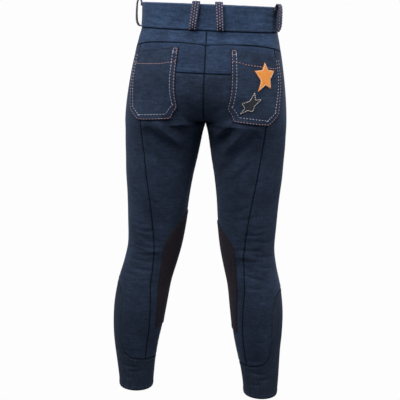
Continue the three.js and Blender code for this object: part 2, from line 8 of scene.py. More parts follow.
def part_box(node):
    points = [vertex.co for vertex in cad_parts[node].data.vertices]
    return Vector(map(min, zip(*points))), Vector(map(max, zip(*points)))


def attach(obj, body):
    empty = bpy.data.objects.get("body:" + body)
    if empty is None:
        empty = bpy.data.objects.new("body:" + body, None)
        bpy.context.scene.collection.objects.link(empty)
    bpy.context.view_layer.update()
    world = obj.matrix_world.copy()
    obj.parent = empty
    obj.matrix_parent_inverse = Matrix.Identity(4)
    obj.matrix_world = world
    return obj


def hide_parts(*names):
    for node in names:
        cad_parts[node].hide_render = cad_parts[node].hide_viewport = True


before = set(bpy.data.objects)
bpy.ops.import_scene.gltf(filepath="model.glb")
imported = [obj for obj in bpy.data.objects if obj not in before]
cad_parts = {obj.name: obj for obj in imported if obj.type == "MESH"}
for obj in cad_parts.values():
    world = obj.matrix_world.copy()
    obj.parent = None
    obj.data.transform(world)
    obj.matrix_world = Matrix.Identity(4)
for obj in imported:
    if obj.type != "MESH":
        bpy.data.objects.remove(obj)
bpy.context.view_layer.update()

# Child's riding breeches, size EU 116, filled out and held at the waist.
# The cut is written in millimetres; makePiece turns it into metres.
mm = 0.001
sides = {"left": 1, "right": -1}


# Camera, as the photo has it: from behind, a little above and turned to the wearer's left.
cameraSet = {
    "place": Vector((-0.1069, 1.5961, 0.034)),
    "aim": Vector((0.0047, 0, -0.306)),
    "lens": 86.6,
    "rollDegrees": 2.3,
}


def makeCamera():
    data = bpy.data.cameras.new("camera")
    data.lens = cameraSet["lens"]
    camera = bpy.data.objects.new("camera", data)
    bpy.context.scene.collection.objects.link(camera)
    forward = (cameraSet["aim"] - cameraSet["place"]).normalized()
    right = forward.cross(Vector((0, 0, 1))).normalized()
    up = right.cross(forward)
    roll = math.radians(cameraSet["rollDegrees"])
    rolledRight = right * math.cos(roll) + up * math.sin(roll)
    rolledUp = up * math.cos(roll) - right * math.sin(roll)
    turn = Matrix((rolledRight, rolledUp, -forward)).transposed()
    camera.matrix_world = Matrix.Translation(cameraSet["place"]) @ turn.to_4x4()
    bpy.context.scene.camera = camera


makeCamera()
print("camera placed")


# The cut. Heights are from the middle of the waistband down.
cut = {
    "bandTop": 20, "bandBottom": -20, "yoke": -40, "seatSeam": -82, "turn": -80,
    "crotch": -169, "cuffSeam": -587, "hem": -646, "tongueClear": -438,
    "clothWall": 1.8, "cuffWall": 1.6, "bandWall": 3, "bandProud": 1.2,
    "patchWall": 1.2, "patchClearance": 0.9, "legGirth": 290,
    "crotchSeam": 4,                  # how far below the crotch the halves still meet
    "trunkSquareness": 2.4, "turnSquareness": 2.5,
    "ankleTaperStart": -545, "ankleTaperLength": 100,
    "yokeEndTop": 0.5, "yokeEndFoot": 0.545,
}
bandHeight = cut["bandTop"] - cut["bandBottom"]
ankleShift = {"left": -4, "right": 6}

# Half widths and depths of the filled-out garment: height, outer, inner, front, back.
sections = np.array([
    (20, 110, 0, -67, 66), (-20, 111, 0, -70, 70), (-38, 115, 0, -72, 75),
    (-60, 120, 0, -74, 80), (-100, 127, 0, -75, 87), (-140, 132, 0, -73, 89),
    (-169, 134, 0, -71, 84), (-188, 134, 4.5, -69, 73), (-208, 134, 8, -67, 66),
    (-234, 133, 12.5, -65, 61.5), (-262, 132, 18, -63, 58.5), (-300, 129, 23.5, -60, 54),
    (-345, 127, 28, -56, 49), (-385, 126, 34, -51, 45), (-415, 131, 41, -48, 45), (-450, 140, 50, -46, 49),
    (-490, 146, 56, -43, 52), (-530, 147, 62, -40, 49), (-565, 145, 69, -37, 43),
    (-600, 142, 75, -34, 37), (-646, 138, 80, -31, 32),
], float)

# The seam down the back of the leg: height, and its share of the way round from the inseam.
backSeamLine = np.array([
    (-20, 0.64), (-60, 0.647), (-165, 0.667), (-240, 0.697), (-310, 0.731),
    (-385, 0.766), (-445, 0.803), (-485, 0.83), (-530, 0.845), (-600, 0.848),
])

# The cuff's upper edge, from the tongue's top outwards: share away from the side, and height.
cuffEdge = np.array([
    (0, -452), (0.06, -454), (0.105, -460), (0.132, -471), (0.145, -487), (0.151, -520),
    (0.158, -556), (0.178, -571), (0.215, -580), (0.28, -584), (0.38, -586), (0.5, -587),
])

# Folds and creases: side, face, x and z of both ends, how far the middle bows down, width
# and depth. A minus is a trough. The first ones are the large folds of the cut's own form.
creases = [
    ("left", "back", 68, -160, 24, -188, 0, 8, -4),
    ("left", "back", 94, -176, 34, -222, 0, 9, -4),
    ("left", "back", 84, -168, 32, -206, 0, 7, 2),
    ("left", "back", 100, -368, 62, -374, 0, 9, -2.2),
    ("left", "back", 94, -410, 58, -402, 0, 9, -2),
    ("right", "back", 54, -168, 20, -206, 0, 8, -4),
    ("right", "back", 88, -176, 42, -230, 0, 9, -3.6),
    ("right", "back", 72, -170, 32, -216, 0, 7, 2),
    ("right", "back", 98, -362, 60, -370, 0, 9, -2.2),
    ("right", "back", 96, -414, 60, -404, 0, 9, -2),
    ("left", "front", 12, -158, 62, -138, 0, 10, -2.6),
    ("left", "front", 20, -192, 72, -172, 0, 10, -2.2),
    ("right", "front", 12, -160, 56, -142, 0, 10, -2.6),
    ("right", "front", 22, -196, 76, -178, 0, 10, -2.2),
    # smaller ones under the seat, fanning out from the crotch
    ("left", "back", 42, -153, 16, -181, 0, 3.8, 2.4),
    ("left", "back", 66, -161, 26, -187, 0, 4, -2.4),
    ("left", "back", 80, -167, 31, -207, 0, 4.2, 2.4),
    ("left", "back", 84, -178, 34, -211, 0, 4.2, -1.6),
    ("left", "back", 96, -192, 50, -232, 0, 5, 1.4),
    ("left", "back", 90, -214, 40, -258, -2, 5, -1.2),
    ("right", "back", 49, -158, 20, -190, 0, 3.8, 2.2),
    ("right", "back", 46, -173, 18, -207, 0, 4.5, -2.6),
    ("right", "back", 70, -172, 28, -225, 0, 4.5, 2.4),
    ("right", "back", 80, -196, 26, -250, 0, 4.5, -1.8),
    ("right", "back", 84, -218, 36, -262, 0, 5, 1.2),
    ("right", "back", 98, -212, 52, -262, -2, 5, -1.2),
    ("left", "back", 88, -204, 34, -242, -4, 6, -1.8),
    ("left", "back", 108, -214, 70, -226, 3, 6, -1),
    ("right", "back", 104, -196, 66, -226, 3, 5, -1.3),
    ("right", "back", 66, -226, 26, -246, 2, 5, -1.4),
    # fine level wrinkles behind the knees
    ("left", "back", 98, -389, 62, -387, 0, 6, 1.3),
    ("right", "back", 92, -394, 50, -388, 0, 6, 1.3),
    ("left", "back", 122, -340, 88, -344, 1, 2.6, -1.4),
    ("left", "back", 116, -352, 70, -353, 2, 2.7, -1.7),
    ("left", "back", 124, -360, 92, -365, 1, 2.4, -1.6),
    ("left", "back", 112, -379, 58, -383, 2, 2.7, -2),
    ("left", "back", 124, -388, 84, -391, -1, 2.4, -1.6),
    ("left", "back", 106, -396, 66, -392, 2, 2.9, -1.7),
    ("left", "back", 122, -403, 82, -408, 1, 2.4, -1.4),
    ("left", "back", 118, -420, 74, -421, 2, 2.7, -1.6),
    ("left", "back", 128, -430, 92, -434, 1, 2.4, -1.1),
    ("left", "back", 108, -441, 72, -438, 1, 2.6, -1.1),
    ("right", "back", 120, -336, 84, -342, 1, 2.6, -1.4),
    ("right", "back", 112, -350, 66, -350, 2, 2.7, -1.6),
    ("right", "back", 122, -366, 88, -361, 1, 2.4, -1.6),
    ("right", "back", 110, -382, 60, -380, -2, 2.9, -2.2),
    ("right", "back", 124, -392, 86, -386, 1, 2.4, -1.6),
    ("right", "back", 108, -398, 62, -394, 2, 2.7, -2),
    ("right", "back", 126, -412, 90, -402, 1, 2.4, -1.6),
    ("right", "back", 112, -428, 66, -418, 2, 2.7, -1.7),
    ("right", "back", 128, -436, 94, -426, 1, 2.4, -1.1),
    ("right", "back", 110, -446, 74, -440, 1, 2.6, -1.1),
    # above and below the cuff seams
    ("left", "back", 136, -566, 92, -570, 1, 2.7, -1.3),
    ("left", "back", 128, -577, 96, -575, 1, 2.4, -1.3),
    ("left", "back", 132, -596, 96, -600, 2, 2.7, -1.5),
    ("left", "back", 118, -610, 88, -606, 1, 2.6, -1.1),
    ("left", "back", 136, -618, 104, -622, 1, 2.7, -0.9),
    ("right", "back", 116, -572, 84, -576, 1, 2.7, -1.3),
    ("right", "back", 124, -598, 90, -596, 2, 2.7, -1.5),
    ("right", "back", 134, -606, 108, -611, 1, 2.6, -1.1),
    ("right", "back", 116, -618, 92, -621, 1, 2.7, -0.9),
    # thighs, yoke and seat
    ("left", "back", 112, -262, 76, -268, 3, 7, -0.9),
    ("left", "back", 70, -290, 34, -300, 3, 7, -0.9),
    ("right", "back", 108, -254, 74, -266, 3, 7, -0.9),
    ("right", "back", 74, -286, 32, -292, 3, 7, -0.9),
    ("left", "back", 88, -300, 60, -306, 2, 4, -0.9),
    ("right", "back", 80, -302, 38, -317, 3, 2.8, -1.5),
    ("right", "back", 76, -310, 46, -322, 2, 2.8, -1.2),
    ("right", "back", 98, -317, 58, -328, 2, 3.4, -1.1),
    ("left", "back", 22, -96, 8, -124, 2, 6, -1),
    ("right", "back", 24, -98, 9, -128, -2, 6, -1),
    ("left", "back", 34, -128, 10, -150, 3, 6, -1.4),
    ("right", "back", 36, -132, 10, -152, 3, 6, -1.4),
    # the front: under the fly, before the knees and over the ankles
    ("left", "front", 10, -172, 44, -158, 2, 5, -1.3),
    ("left", "front", 16, -208, 64, -196, 2, 6, -1.2),
    ("left", "front", 28, -226, 82, -212, 3, 7, -1),
    ("right", "front", 10, -174, 40, -160, 2, 5, -1.3),
    ("right", "front", 18, -212, 60, -198, 2, 6, -1.2),
    ("right", "front", 30, -230, 84, -218, 3, 7, -1),
    ("left", "front", 112, -372, 64, -378, 3, 5, -0.7),
    ("left", "front", 118, -446, 76, -440, 2, 5, -0.7),
    ("left", "front", 134, -578, 100, -574, 2, 3.6, -0.8),
    ("left", "front", 132, -604, 98, -608, 2, 3.6, -0.8),
    ("right", "front", 110, -368, 62, -374, 3, 5, -0.7),
    ("right", "front", 120, -450, 78, -444, 2, 5, -0.7),
    ("right", "front", 130, -574, 98, -578, 2, 3.6, -0.8),
    ("right", "front", 136, -610, 102, -606, 2, 3.6, -0.8),
]
faceBlend = 30


def readTable(table, column, at):
    # Value of a column between the rows of a table, on a smooth curve.
    keys, values = table[:, 0], table[:, column]
    direction = np.sign(keys[1] - keys[0])
    place = (keys - keys[0]) * direction
    slopes = np.empty(len(values))
    slopes[1:-1] = (values[2:] - values[:-2]) / (place[2:] - place[:-2])
    slopes[0] = (values[1] - values[0]) / (place[1] - place[0])
    slopes[-1] = (values[-1] - values[-2]) / (place[-1] - place[-2])
    x = np.clip((np.asarray(at, float) - keys[0]) * direction, 0, place[-1])
    row = np.clip(np.searchsorted(place, x) - 1, 0, len(keys) - 2)
    span = place[row + 1] - place[row]
    t = (x - place[row]) / span
    startWeight = 2 * t ** 3 - 3 * t ** 2 + 1
    value = values[row] * startWeight + values[row + 1] * (1 - startWeight)
    value = value + slopes[row] * (t ** 3 - 2 * t ** 2 + t) * span
    return value + slopes[row + 1] * (t ** 3 - t ** 2) * span


def smoothstep(low, high, x):
    t = np.clip((x - low) / (high - low), 0, 1)
    return t * t * (3 - 2 * t)


def signedPower(value, power):
    return np.sign(value) * np.abs(value) ** power


def mix(a, b, t):
    return a + (b - a) * t


def smoothPoint(side, share, h):
    # A point of the smooth cloth: share 0 is the centre front, 0.5 the outer side, 1 the back.
    share, h = np.broadcast_arrays(np.asarray(share, float), np.asarray(h, float))
    turn = np.clip((cut["turn"] - h) / (cut["turn"] - cut["crotch"]), 0, 1)
    angle = turn * math.pi / 2
    turnPower = 2 / cut["turnSquareness"]
    sunk = (cut["crotch"] - cut["turn"]) * np.sin(angle) ** turnPower + cut["turn"] - h
    nearCentre = np.cos(math.pi * share) ** 2
    z = np.where((turn > 0) & (turn < 1), h + nearCentre * sunk, h)
    centreTurn = 1 - np.maximum(np.cos(angle), 0) ** turnPower
    legShare = nearCentre * centreTurn + (1 - nearCentre) * smoothstep(0, 1, turn)
    legShare = np.where(turn < 1, legShare, 1)

    outer = readTable(sections, 1, z)
    inner = np.where(turn < 1, 0, readTable(sections, 2, z))
    front = readTable(sections, 3, z)
    back = readTable(sections, 4, z)
    middle = (front + back) / 2
    depth = (back - front) / 2
    trunkPower = 2 / cut["trunkSquareness"]
    trunkX = outer * signedPower(np.sin(math.pi * share), trunkPower)
    trunkY = middle - depth * signedPower(np.cos(math.pi * share), trunkPower)
    legX = (outer + inner) / 2 - (outer - inner) / 2 * np.cos(2 * math.pi * share)
    legY = middle - depth * np.sin(2 * math.pi * share)
    taper = (cut["ankleTaperStart"] - z) / cut["ankleTaperLength"]
    x = mix(trunkX, legX, legShare) + ankleShift[side] * smoothstep(0, 1, taper)
    return np.stack([sides[side] * x, mix(trunkY, legY, legShare), z], axis=-1)


def foldLift(side, point):
    # How far the folds and creases push the cloth out (plus) or in (minus).
    x = point[..., 0] * sides[side]
    z = point[..., 2]
    middle = (readTable(sections, 3, z) + readTable(sections, 4, z)) / 2
    lift = np.zeros(x.shape)
    for foldSide, face, x1, z1, x2, z2, bow, width, depth in creases:
        if foldSide != side:
            continue
        facing = 1 if face == "back" else -1
        weight = smoothstep(0, 1, (point[..., 1] - middle) * facing / faceBlend)
        runX, runZ = x2 - x1, z2 - z1
        length = math.hypot(runX, runZ)
        share = ((x - x1) * runX + (z - z1) * runZ) / length ** 2
        along = np.clip(share, 0, 1)
        bowed = bow * 4 * along * (1 - along)
        away = np.hypot(x - x1 - along * runX, z - z1 + bowed - along * runZ)
        taper = 1 - np.abs(2 * along - 1) ** 3
        lift += weight * depth * taper * np.exp(-(away / width) ** 2)
    return lift


def outward(side, share, h):
    shareStep, heightStep = 0.002, 0.5
    across = smoothPoint(side, share + shareStep, h) - smoothPoint(side, share - shareStep, h)
    up = smoothPoint(side, share, h + heightStep) - smoothPoint(side, share, h - heightStep)
    normal = np.cross(across, up) * sides[side]
    return normal / np.linalg.norm(normal, axis=-1, keepdims=True)


def clothPoint(side, share, h, out):
    point = smoothPoint(side, share, h)
    lift = np.asarray(out, float) + foldLift(side, point)
    return point + outward(side, share, h) * lift[..., None]


def heightFor(side, share, z):
    # The h at which the cloth has the height z.
    share, z = np.broadcast_arrays(np.asarray(share, float), np.asarray(z, float))
    high = np.full(z.shape, float(cut["bandTop"]))
    low = np.full(z.shape, float(cut["hem"]))
    for step in range(30):
        middle = (high + low) / 2
        above = smoothPoint(side, share, middle)[..., 2] > z
        high = np.where(above, middle, high)
        low = np.where(above, low, middle)
    return (high + low) / 2


def backSeam(h):
    return readTable(backSeamLine, 1, h)


def yokeSeam(share):
    flatShare, sideDip, centreDip = 0.88, 11, 2.5
    sideRun = (flatShare - share) / (flatShare - cut["yokeEndFoot"])
    centreRun = (share - flatShare) / (1 - flatShare)
    dip = np.where(share < flatShare, sideDip * sideRun ** 2, centreDip * centreRun ** 2)
    return cut["yoke"] - dip


backSeamStart = float(backSeam(yokeSeam(backSeam(cut["yoke"]))))
backSeamFoot = float(backSeam(cut["cuffSeam"]))


# The cuff's seam as one smooth line from inseam to inseam, over the tongue.
seamPoints = np.array([(0.5 - away, h) for away, h in cuffEdge[::-1]]
                      + [(0.5 + away, h) for away, h in cuffEdge[1:]])


def between(before, start, end, after, t):
    # A point on the smooth line from start to end, with the points before and after them.
    return 0.5 * (2 * start + (end - before) * t + (2 * before - 5 * start + 4 * end - after) * t ** 2
                  + (3 * start - before - 3 * end + after) * t ** 3)


def cuffSeam(place, gap=0):
    # place counts the seam's points; the line is moved down by the gap.
    index = np.clip(np.floor(place).astype(int), 0, len(seamPoints) - 2)
    t = (place - index)[:, None]
    before, after = np.maximum(index - 1, 0), np.minimum(index + 2, len(seamPoints) - 1)
    point = between(*(seamPoints[i] for i in (before, index, index + 1, after)), t)
    girth = cut["legGirth"]
    run = np.gradient(point[:, 0]) * girth
    rise = np.gradient(point[:, 1])
    length = np.hypot(run, rise)
    return np.stack([point[:, 0] + rise / length * gap / girth, point[:, 1] - run / length * gap], -1)


# Meshes and pieces
def gridSteps(length, step=2.3, edge=(0.4, 1, 1.8, 2.8)):
    # Places from 0 to 1 along a stretch of that length, closer together near its ends.
    count = max(int(round((length - 2 * edge[-1]) / step)), 2)
    inner = np.linspace(edge[-1], length - edge[-1], count + 1)
    ends = np.array((0,) + edge[:-1])
    return np.concatenate([ends, inner, length - ends[::-1]]) / length


def arcs(points, axis):
    # Distance run along a grid of points, from the first row or column.
    steps = np.linalg.norm(np.diff(points, axis=axis), axis=-1)
    start = np.zeros_like(np.take(steps, [0], axis=axis))
    return np.concatenate([start, np.cumsum(steps, axis=axis)], axis=axis)


def fillEdges(top, bottom, start, end, across):
    # Fills the space between four edges with a grid of (share, h) places.
    drop = start[0, 1] - start[-1, 1]
    v = ((start[0, 1] - start[:, 1]) / drop)[:, None, None]
    u = across[None, :, None]
    upDown = top[None] * (1 - v) + bottom[None] * v
    sideways = start[:, None] * (1 - u) + end[:, None] * u
    corners = (top[0] * (1 - u) + top[-1] * u) * (1 - v) + (bottom[0] * (1 - u) + bottom[-1] * u) * v
    return upDown + sideways - corners


def makePiece(name, points, faces, material, edge=None):
    mesh = bpy.data.meshes.new(name)
    mesh.from_pydata((np.asarray(points) * mm).tolist(), [], faces)
    mesh.validate()
    mesh.polygons.foreach_set("use_smooth", [True] * len(mesh.polygons))
    mesh.set_sharp_from_angle(angle=math.radians(55))
    if edge is not None:
        mesh.attributes.new("paintedShade", "FLOAT", "POINT").data.foreach_set("value", edge)
    mesh.materials.append(material)
    piece = bpy.data.objects.new(name, mesh)
    bpy.context.scene.collection.objects.link(piece)
    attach(piece, "root")
    return piece


def wallFaces(outer, ring):
    # Quads of an outer grid, a like inner grid and the rim between them.
    rows, columns = outer.shape[:2]
    innerStart = rows * columns
    spans = columns if ring else columns - 1
    row, column = np.meshgrid(np.arange(rows - 1), np.arange(spans), indexing="ij")
    row, column = row.ravel(), column.ravel()
    beside = (column + 1) % columns
    a, b = row * columns + column, (row + 1) * columns + column
    c, d = (row + 1) * columns + beside, row * columns + beside
    faces = [np.stack([a, b, c, d], -1), np.stack([d, c, b, a], -1) + innerStart]
    column = np.arange(spans)
    beside = (column + 1) % columns
    for base, near, far in ((0, column, beside), ((rows - 1) * columns, beside, column)):
        rim = np.stack([base + near, base + far, base + far + innerStart, base + near + innerStart], -1)
        faces.append(rim)
    if not ring:
        row = np.arange(rows - 1)
        for base, near, far in ((0, row + 1, row), (columns - 1, row, row + 1)):
            near, far = near * columns + base, far * columns + base
            faces.append(np.stack([near, far, far + innerStart, near + innerStart], -1))
    return np.concatenate(faces)


def closedWall(outer, inner, ring=False):
    # The points and faces of a wall between two like grids, with its faces turned outwards.
    points = np.concatenate([outer.reshape(-1, 3), inner.reshape(-1, 3)])
    faces = wallFaces(outer, ring)
    a, b, c, d = (points[faces[:, i]] for i in range(4))
    volume = np.einsum("ij,ij->i", a, np.cross(b, c)) + np.einsum("ij,ij->i", a, np.cross(c, d))
    return points, faces[:, ::-1] if volume.sum() < 0 else faces


# How a sewn piece's wall ends: it rolls down into the seam, and swells over the turned edge. The shade is
# how far the painted seam shade reaches.
seamed = {"roll": 1.1, "rollWidth": 1.9, "swell": 0.35, "swellAt": 4.2, "pucker": 0.22, "shade": 1.15}
patched = {"roll": 0.6, "rollWidth": 1.8, "swell": 0.3, "swellAt": 5, "pucker": 0.2, "shade": 0.9}
laidFlat = {"roll": 0.8, "rollWidth": 5, "swell": 0.1, "swellAt": 6, "pucker": 0.1, "shade": 0.7,
            "sink": 0.25}
edgeWaves = ((1, 1.9, 0), (0.8, 1.13, 1.7), (0.6, 3.1, 0.6))      # the pucker: size, length and offset
edgeReach = {"swell": 2.6, "pucker": 6, "flatEnd": 2}


def edgeRelief(points, style, ring):
    # Height of the outer face near the edges, and how near each point lies to one.
    down = arcs(points, 0)
    fromEdges = [(down, points[..., 0]), (down[-1:] - down, points[..., 0])]
    if not ring:
        across = arcs(points, 1)
        fromEdges += [(across, points[..., 2]), (across[:, -1:] - across, points[..., 2])]
    nearest = np.minimum.reduce([distance for distance, along in fromEdges])
    t = np.clip(1 - nearest / style["rollWidth"], 0, 1)
    relief = -style["roll"] * (1 - np.sqrt(1 - t ** 2))
    relief += style["swell"] * np.exp(-((nearest - style["swellAt"]) / edgeReach["swell"]) ** 2)
    waveSize = sum(size for size, length, offset in edgeWaves)
    for distance, along in fromEdges:
        waves = sum(size * np.sin(along / length + offset) for size, length, offset in edgeWaves)
        near = np.exp(-(distance / edgeReach["pucker"]) ** 2) * smoothstep(0, edgeReach["flatEnd"], distance)
        relief += style["pucker"] * waves / waveSize * near
    return relief, np.exp(-(nearest / style["shade"]) ** 2)


# Painted shade where the thighs meet, darker on the right leg:
# how dark, x, half width, how square, height and half height.
paintedCrotchPatches = ((0.66, -10, 22, 2, -194, 22), (0.78, 0, 58, 4, -170.5, 5.5))


def paintedCrotchShade(point):
    x, z = point[..., 0], point[..., 2]
    return np.maximum(*(dark * np.exp(-((x - middle) / wide) ** power - ((z - height) / tall) ** 2)
                        for dark, middle, wide, power, height, tall in paintedCrotchPatches))


def clothWall(name, side, grid, style, material, out=0, wall=None, ring=False, extra=0, fade=1):
    # One cut piece: a thin closed wall on a grid of (share, h) places.
    wall = cut["clothWall"] if wall is None else wall
    share, h = grid[..., 0], grid[..., 1]
    flat = smoothPoint(side, share, h)
    normal = outward(side, share, h)
    lift = foldLift(side, flat)
    relief, edge = edgeRelief(flat, style, ring)
    outer = flat + normal * (out + lift + relief + extra)[..., None]
    sink = style.get("sink", 0) * edge
    inner = flat + normal * (out + lift - wall - sink)[..., None]
    joined = (np.minimum(share, 1 - share) < 1e-6) & (h >= cut["crotch"] - cut["crotchSeam"])
    for layer in (outer, inner):           # the two halves meet along the centre and the crotch
        away = np.maximum(layer[..., 0] * sides[side], 0)
        layer[..., 0] = sides[side] * np.where(joined, 0, away)
    points, faces = closedWall(outer, inner, ring)
    # Painted shade: near the seams, faded where asked, and where the thighs meet.
    shade = np.concatenate([np.maximum(edge * fade, paintedCrotchShade(flat)).ravel(), np.zeros(edge.size)])
    piece = makePiece(name, points, faces.tolist(), material, shade)
    cells = np.cross(outer[1:, 1:] - outer[:-1, :-1], outer[1:, :-1] - outer[:-1, 1:])
    print(f"{name}: {np.linalg.norm(cells, axis=-1).sum() / 2 / 1e6:.4f} m2")
    return piece


# Sewing thread: each stitch is a small round of thread that dips into the cloth at both ends.
stitchSides = 5
stitchRings = ((0, 0.35, -0.25), (0.2, 1, 0.1), (0.8, 1, 0.1), (1, 0.35, -0.25))


def resample(path, step):
    length = np.concatenate([[0], np.cumsum(np.linalg.norm(np.diff(path, axis=0), axis=1))])
    count = max(int(round(length[-1] / step)), 1)
    at = np.linspace(0, length[-1], count + 1)
    return np.stack([np.interp(at, length, path[:, axis]) for axis in range(path.shape[1])], -1)


def addStitches(store, path, normals, pitch, fill, radius):
    # Stitches along a path of points with outward normals, gathered in a store of points and faces.
    both = resample(np.concatenate([path, normals], axis=1), pitch)
    for index in range(len(both) - 1):
        start, end = both[index, :3], both[index + 1, :3]
        normal = both[index, 3:] + both[index + 1, 3:]
        normal = normal / np.linalg.norm(normal)
        run = (end - start) * fill
        start = start + (end - start) * (1 - fill) / 2
        sideways = np.cross(run, normal)
        sideways = sideways / np.linalg.norm(sideways)
        base = len(store["points"])
        for along, size, rise in stitchRings:
            centre = start + run * along + normal * rise * radius * 2
            for turn in range(stitchSides):
                angle = 2 * math.pi * turn / stitchSides
                offset = normal * math.cos(angle) + sideways * math.sin(angle)
                store["points"].append(centre + offset * radius * size)
        for ring in range(len(stitchRings) - 1):
            for turn in range(stitchSides):
                a = base + ring * stitchSides + turn
                b = base + ring * stitchSides + (turn + 1) % stitchSides
                store["faces"].append((a, b, b + stitchSides, a + stitchSides))
        store["faces"].append(tuple(base + turn for turn in reversed(range(stitchSides))))
        last = base + (len(stitchRings) - 1) * stitchSides
        store["faces"].append(tuple(last + turn for turn in range(stitchSides)))


def sewRow(store, side, places, out, pitch=3, fill=0.66, radius=0.24):
    # A row of stitches through (share, h) places, lying out from the smooth cloth.
    places = np.asarray(places, float)
    dense = resample(places * (cut["legGirth"], 1), 1.2) / (cut["legGirth"], 1)
    points = clothPoint(side, dense[:, 0], dense[:, 1], out)
    normals = outward(side, dense[:, 0], dense[:, 1])
    addStitches(store, points, normals, pitch, fill, radius)


def newStore():
    return {"points": [], "faces": []}


def threadPiece(name, store, material):
    return makePiece(name, np.array(store["points"]), store["faces"], material)


def ruler(side, h, low, high):
    # Length round the cloth at one height, to measure along it: shares and millimetres.
    shares = np.linspace(low, high, 300)
    points = smoothPoint(side, shares, h)
    return shares, arcs(points[:, None], 0)[:, 0]


shareEnds = np.array([-0.01, 0.01])


def shareLength(ends):
    # Millimetres to a whole share, from two points that lie shareEnds apart.
    return np.linalg.norm(ends[1] - ends[0]) / (shareEnds[1] - shareEnds[0])


def insetLoop(outline, distance):
    # A closed outline in millimetres, moved inwards.
    area = np.sum(outline[:, 0] * np.roll(outline[:, 1], -1) - np.roll(outline[:, 0], -1) * outline[:, 1])
    before, after = outline - np.roll(outline, 1, 0), np.roll(outline, -1, 0) - outline
    before = before / np.linalg.norm(before, axis=1, keepdims=True)
    after = after / np.linalg.norm(after, axis=1, keepdims=True)
    turned = np.stack([-(before + after)[:, 1], (before + after)[:, 0]], -1) / 2
    turned = turned / (np.linalg.norm(turned, axis=1, keepdims=True) ** 2)
    return outline + turned * distance * np.sign(area)


# Materials
def linear(hexColour):
    # sRGB hex to the linear colour that the shader takes.
    parts = [int(hexColour[i:i + 2], 16) / 255 for i in (1, 3, 5)]
    return tuple(p / 12.92 if p <= 0.04045 else ((p + 0.055) / 1.055) ** 2.4 for p in parts) + (1,)


def addNode(owner, kind, settings=None, links=None):
    # Adds a node to a material or the sky. A ramp is given as places with their sRGB hex colours.
    node = owner.node_tree.nodes.new(kind)
    for key, value in (settings or {}).items():
        if key == "ramp":
            for stop, (position, hexColour) in zip(node.color_ramp.elements, value):
                stop.position, stop.color = position, linear(hexColour)
        elif isinstance(key, int) or key in node.inputs:
            node.inputs[key].default_value = value
        else:
            setattr(node, key, value)
    for key, source in (links or {}).items():
        owner.node_tree.links.new(source, node.inputs[key])
    return node


def startMaterial(name, shader):
    material = bpy.data.materials.new(name)
    material.use_nodes = True
    material.node_tree.nodes.clear()
    principled = addNode(material, "ShaderNodeBsdfPrincipled", shader)
    addNode(material, "ShaderNodeOutputMaterial", links={"Surface": principled.outputs[0]})
    place = addNode(material, "ShaderNodeTexCoord").outputs["Object"]
    return material, principled, place


def fineGrain(material, place, across, down, detail=2):
    # An uneven pattern, with a grain of that many millimetres across and down the cloth.
    scale = (1000 / across, 1000 / across, 1000 / down)
    mapped = addNode(material, "ShaderNodeMapping", {"Scale": scale}, {"Vector": place})
    return addNode(material, "ShaderNodeTexNoise", {"Scale": 1, "Detail": detail, "Roughness": 0.6},
                   {"Vector": mapped.outputs[0]}).outputs[0]


def mottle(material, colour, share, pattern, dark, light):
    # Lays a pattern over a colour as soft shade and light, between two greys.
    shade = addNode(material, "ShaderNodeValToRGB", {"ramp": ((0.3, dark), (0.7, light))}, {"Fac": pattern})
    return addNode(material, "ShaderNodeMix", {"data_type": "RGBA", "blend_type": "SOFT_LIGHT", 0: share},
                   {6: colour, 7: shade.outputs[0]}).outputs[2]


def paintShade(material, principled, colour):
    # Painted shade: by the shade attribute on the mesh, the colour is darkened towards near-black and the
    # sheen and specular level are damped, along the seams and where the thighs meet.
    fold = addNode(material, "ShaderNodeAttribute", {"attribute_name": "paintedShade"}).outputs["Fac"]
    fold = addNode(material, "ShaderNodeMath", {"operation": "MULTIPLY", 1: 0.92}, {0: fold}).outputs[0]
    for name in ("Sheen Weight", "Specular IOR Level"):
        full = principled.inputs[name].default_value
        left = addNode(material, "ShaderNodeMath", {"operation": "MULTIPLY_ADD", 1: -full, 2: full},
                       {0: fold}).outputs[0]
        material.node_tree.links.new(left, principled.inputs[name])
    return addNode(material, "ShaderNodeMix", {"data_type": "RGBA", 7: linear("#0f1520")},
                   {0: fold, 6: colour}).outputs[2]


def finished(material, principled, colour, relief, strength, depth):
    # Gives the shader its colour and a relief of that many millimetres.
    raised = addNode(material, "ShaderNodeBump", {"Strength": strength, "Distance": depth * mm},
                     {"Height": relief})
    material.node_tree.links.new(raised.outputs[0], principled.inputs["Normal"])
    if colour is not None:
        material.node_tree.links.new(colour, principled.inputs["Base Color"])
    return material


def denimJersey(name, dark, light):
    # Yarn-dyed cotton jersey, knitted and brushed to look like denim: level streaks of light and
    # dark yarn, faint wales, patches where the dye took less, and painted shade at the seams.
    material, principled, place = startMaterial(name, {
        "Roughness": 0.88, "IOR": 1.5, "Specular IOR Level": 0.25,
        "Sheen Weight": 0.25, "Sheen Roughness": 0.5, "Sheen Tint": linear("#8fa3c4"),
    })
    courses = fineGrain(material, place, 13, 2.4, 3)    # streaks are 0.6 mm high, drawn four times as coarse
    wales = fineGrain(material, place, 2, 7)            # wales are 1 mm apart, drawn twice as coarse
    cloudy = fineGrain(material, place, 36, 44)
    colour = addNode(material, "ShaderNodeValToRGB", {"ramp": ((0.26, dark), (0.74, light))},
                     {"Fac": courses}).outputs[0]
    colour = mottle(material, colour, 0.5, wales, "#4a4a4a", "#b4b4b4")
    colour = mottle(material, colour, 0.6, cloudy, "#525252", "#aeaeae")
    colour = paintShade(material, principled, colour)
    ribs = addNode(material, "ShaderNodeMath", {"operation": "ADD"}, {0: wales, 1: courses}).outputs[0]
    return finished(material, principled, colour, ribs, 0.5, 0.25)


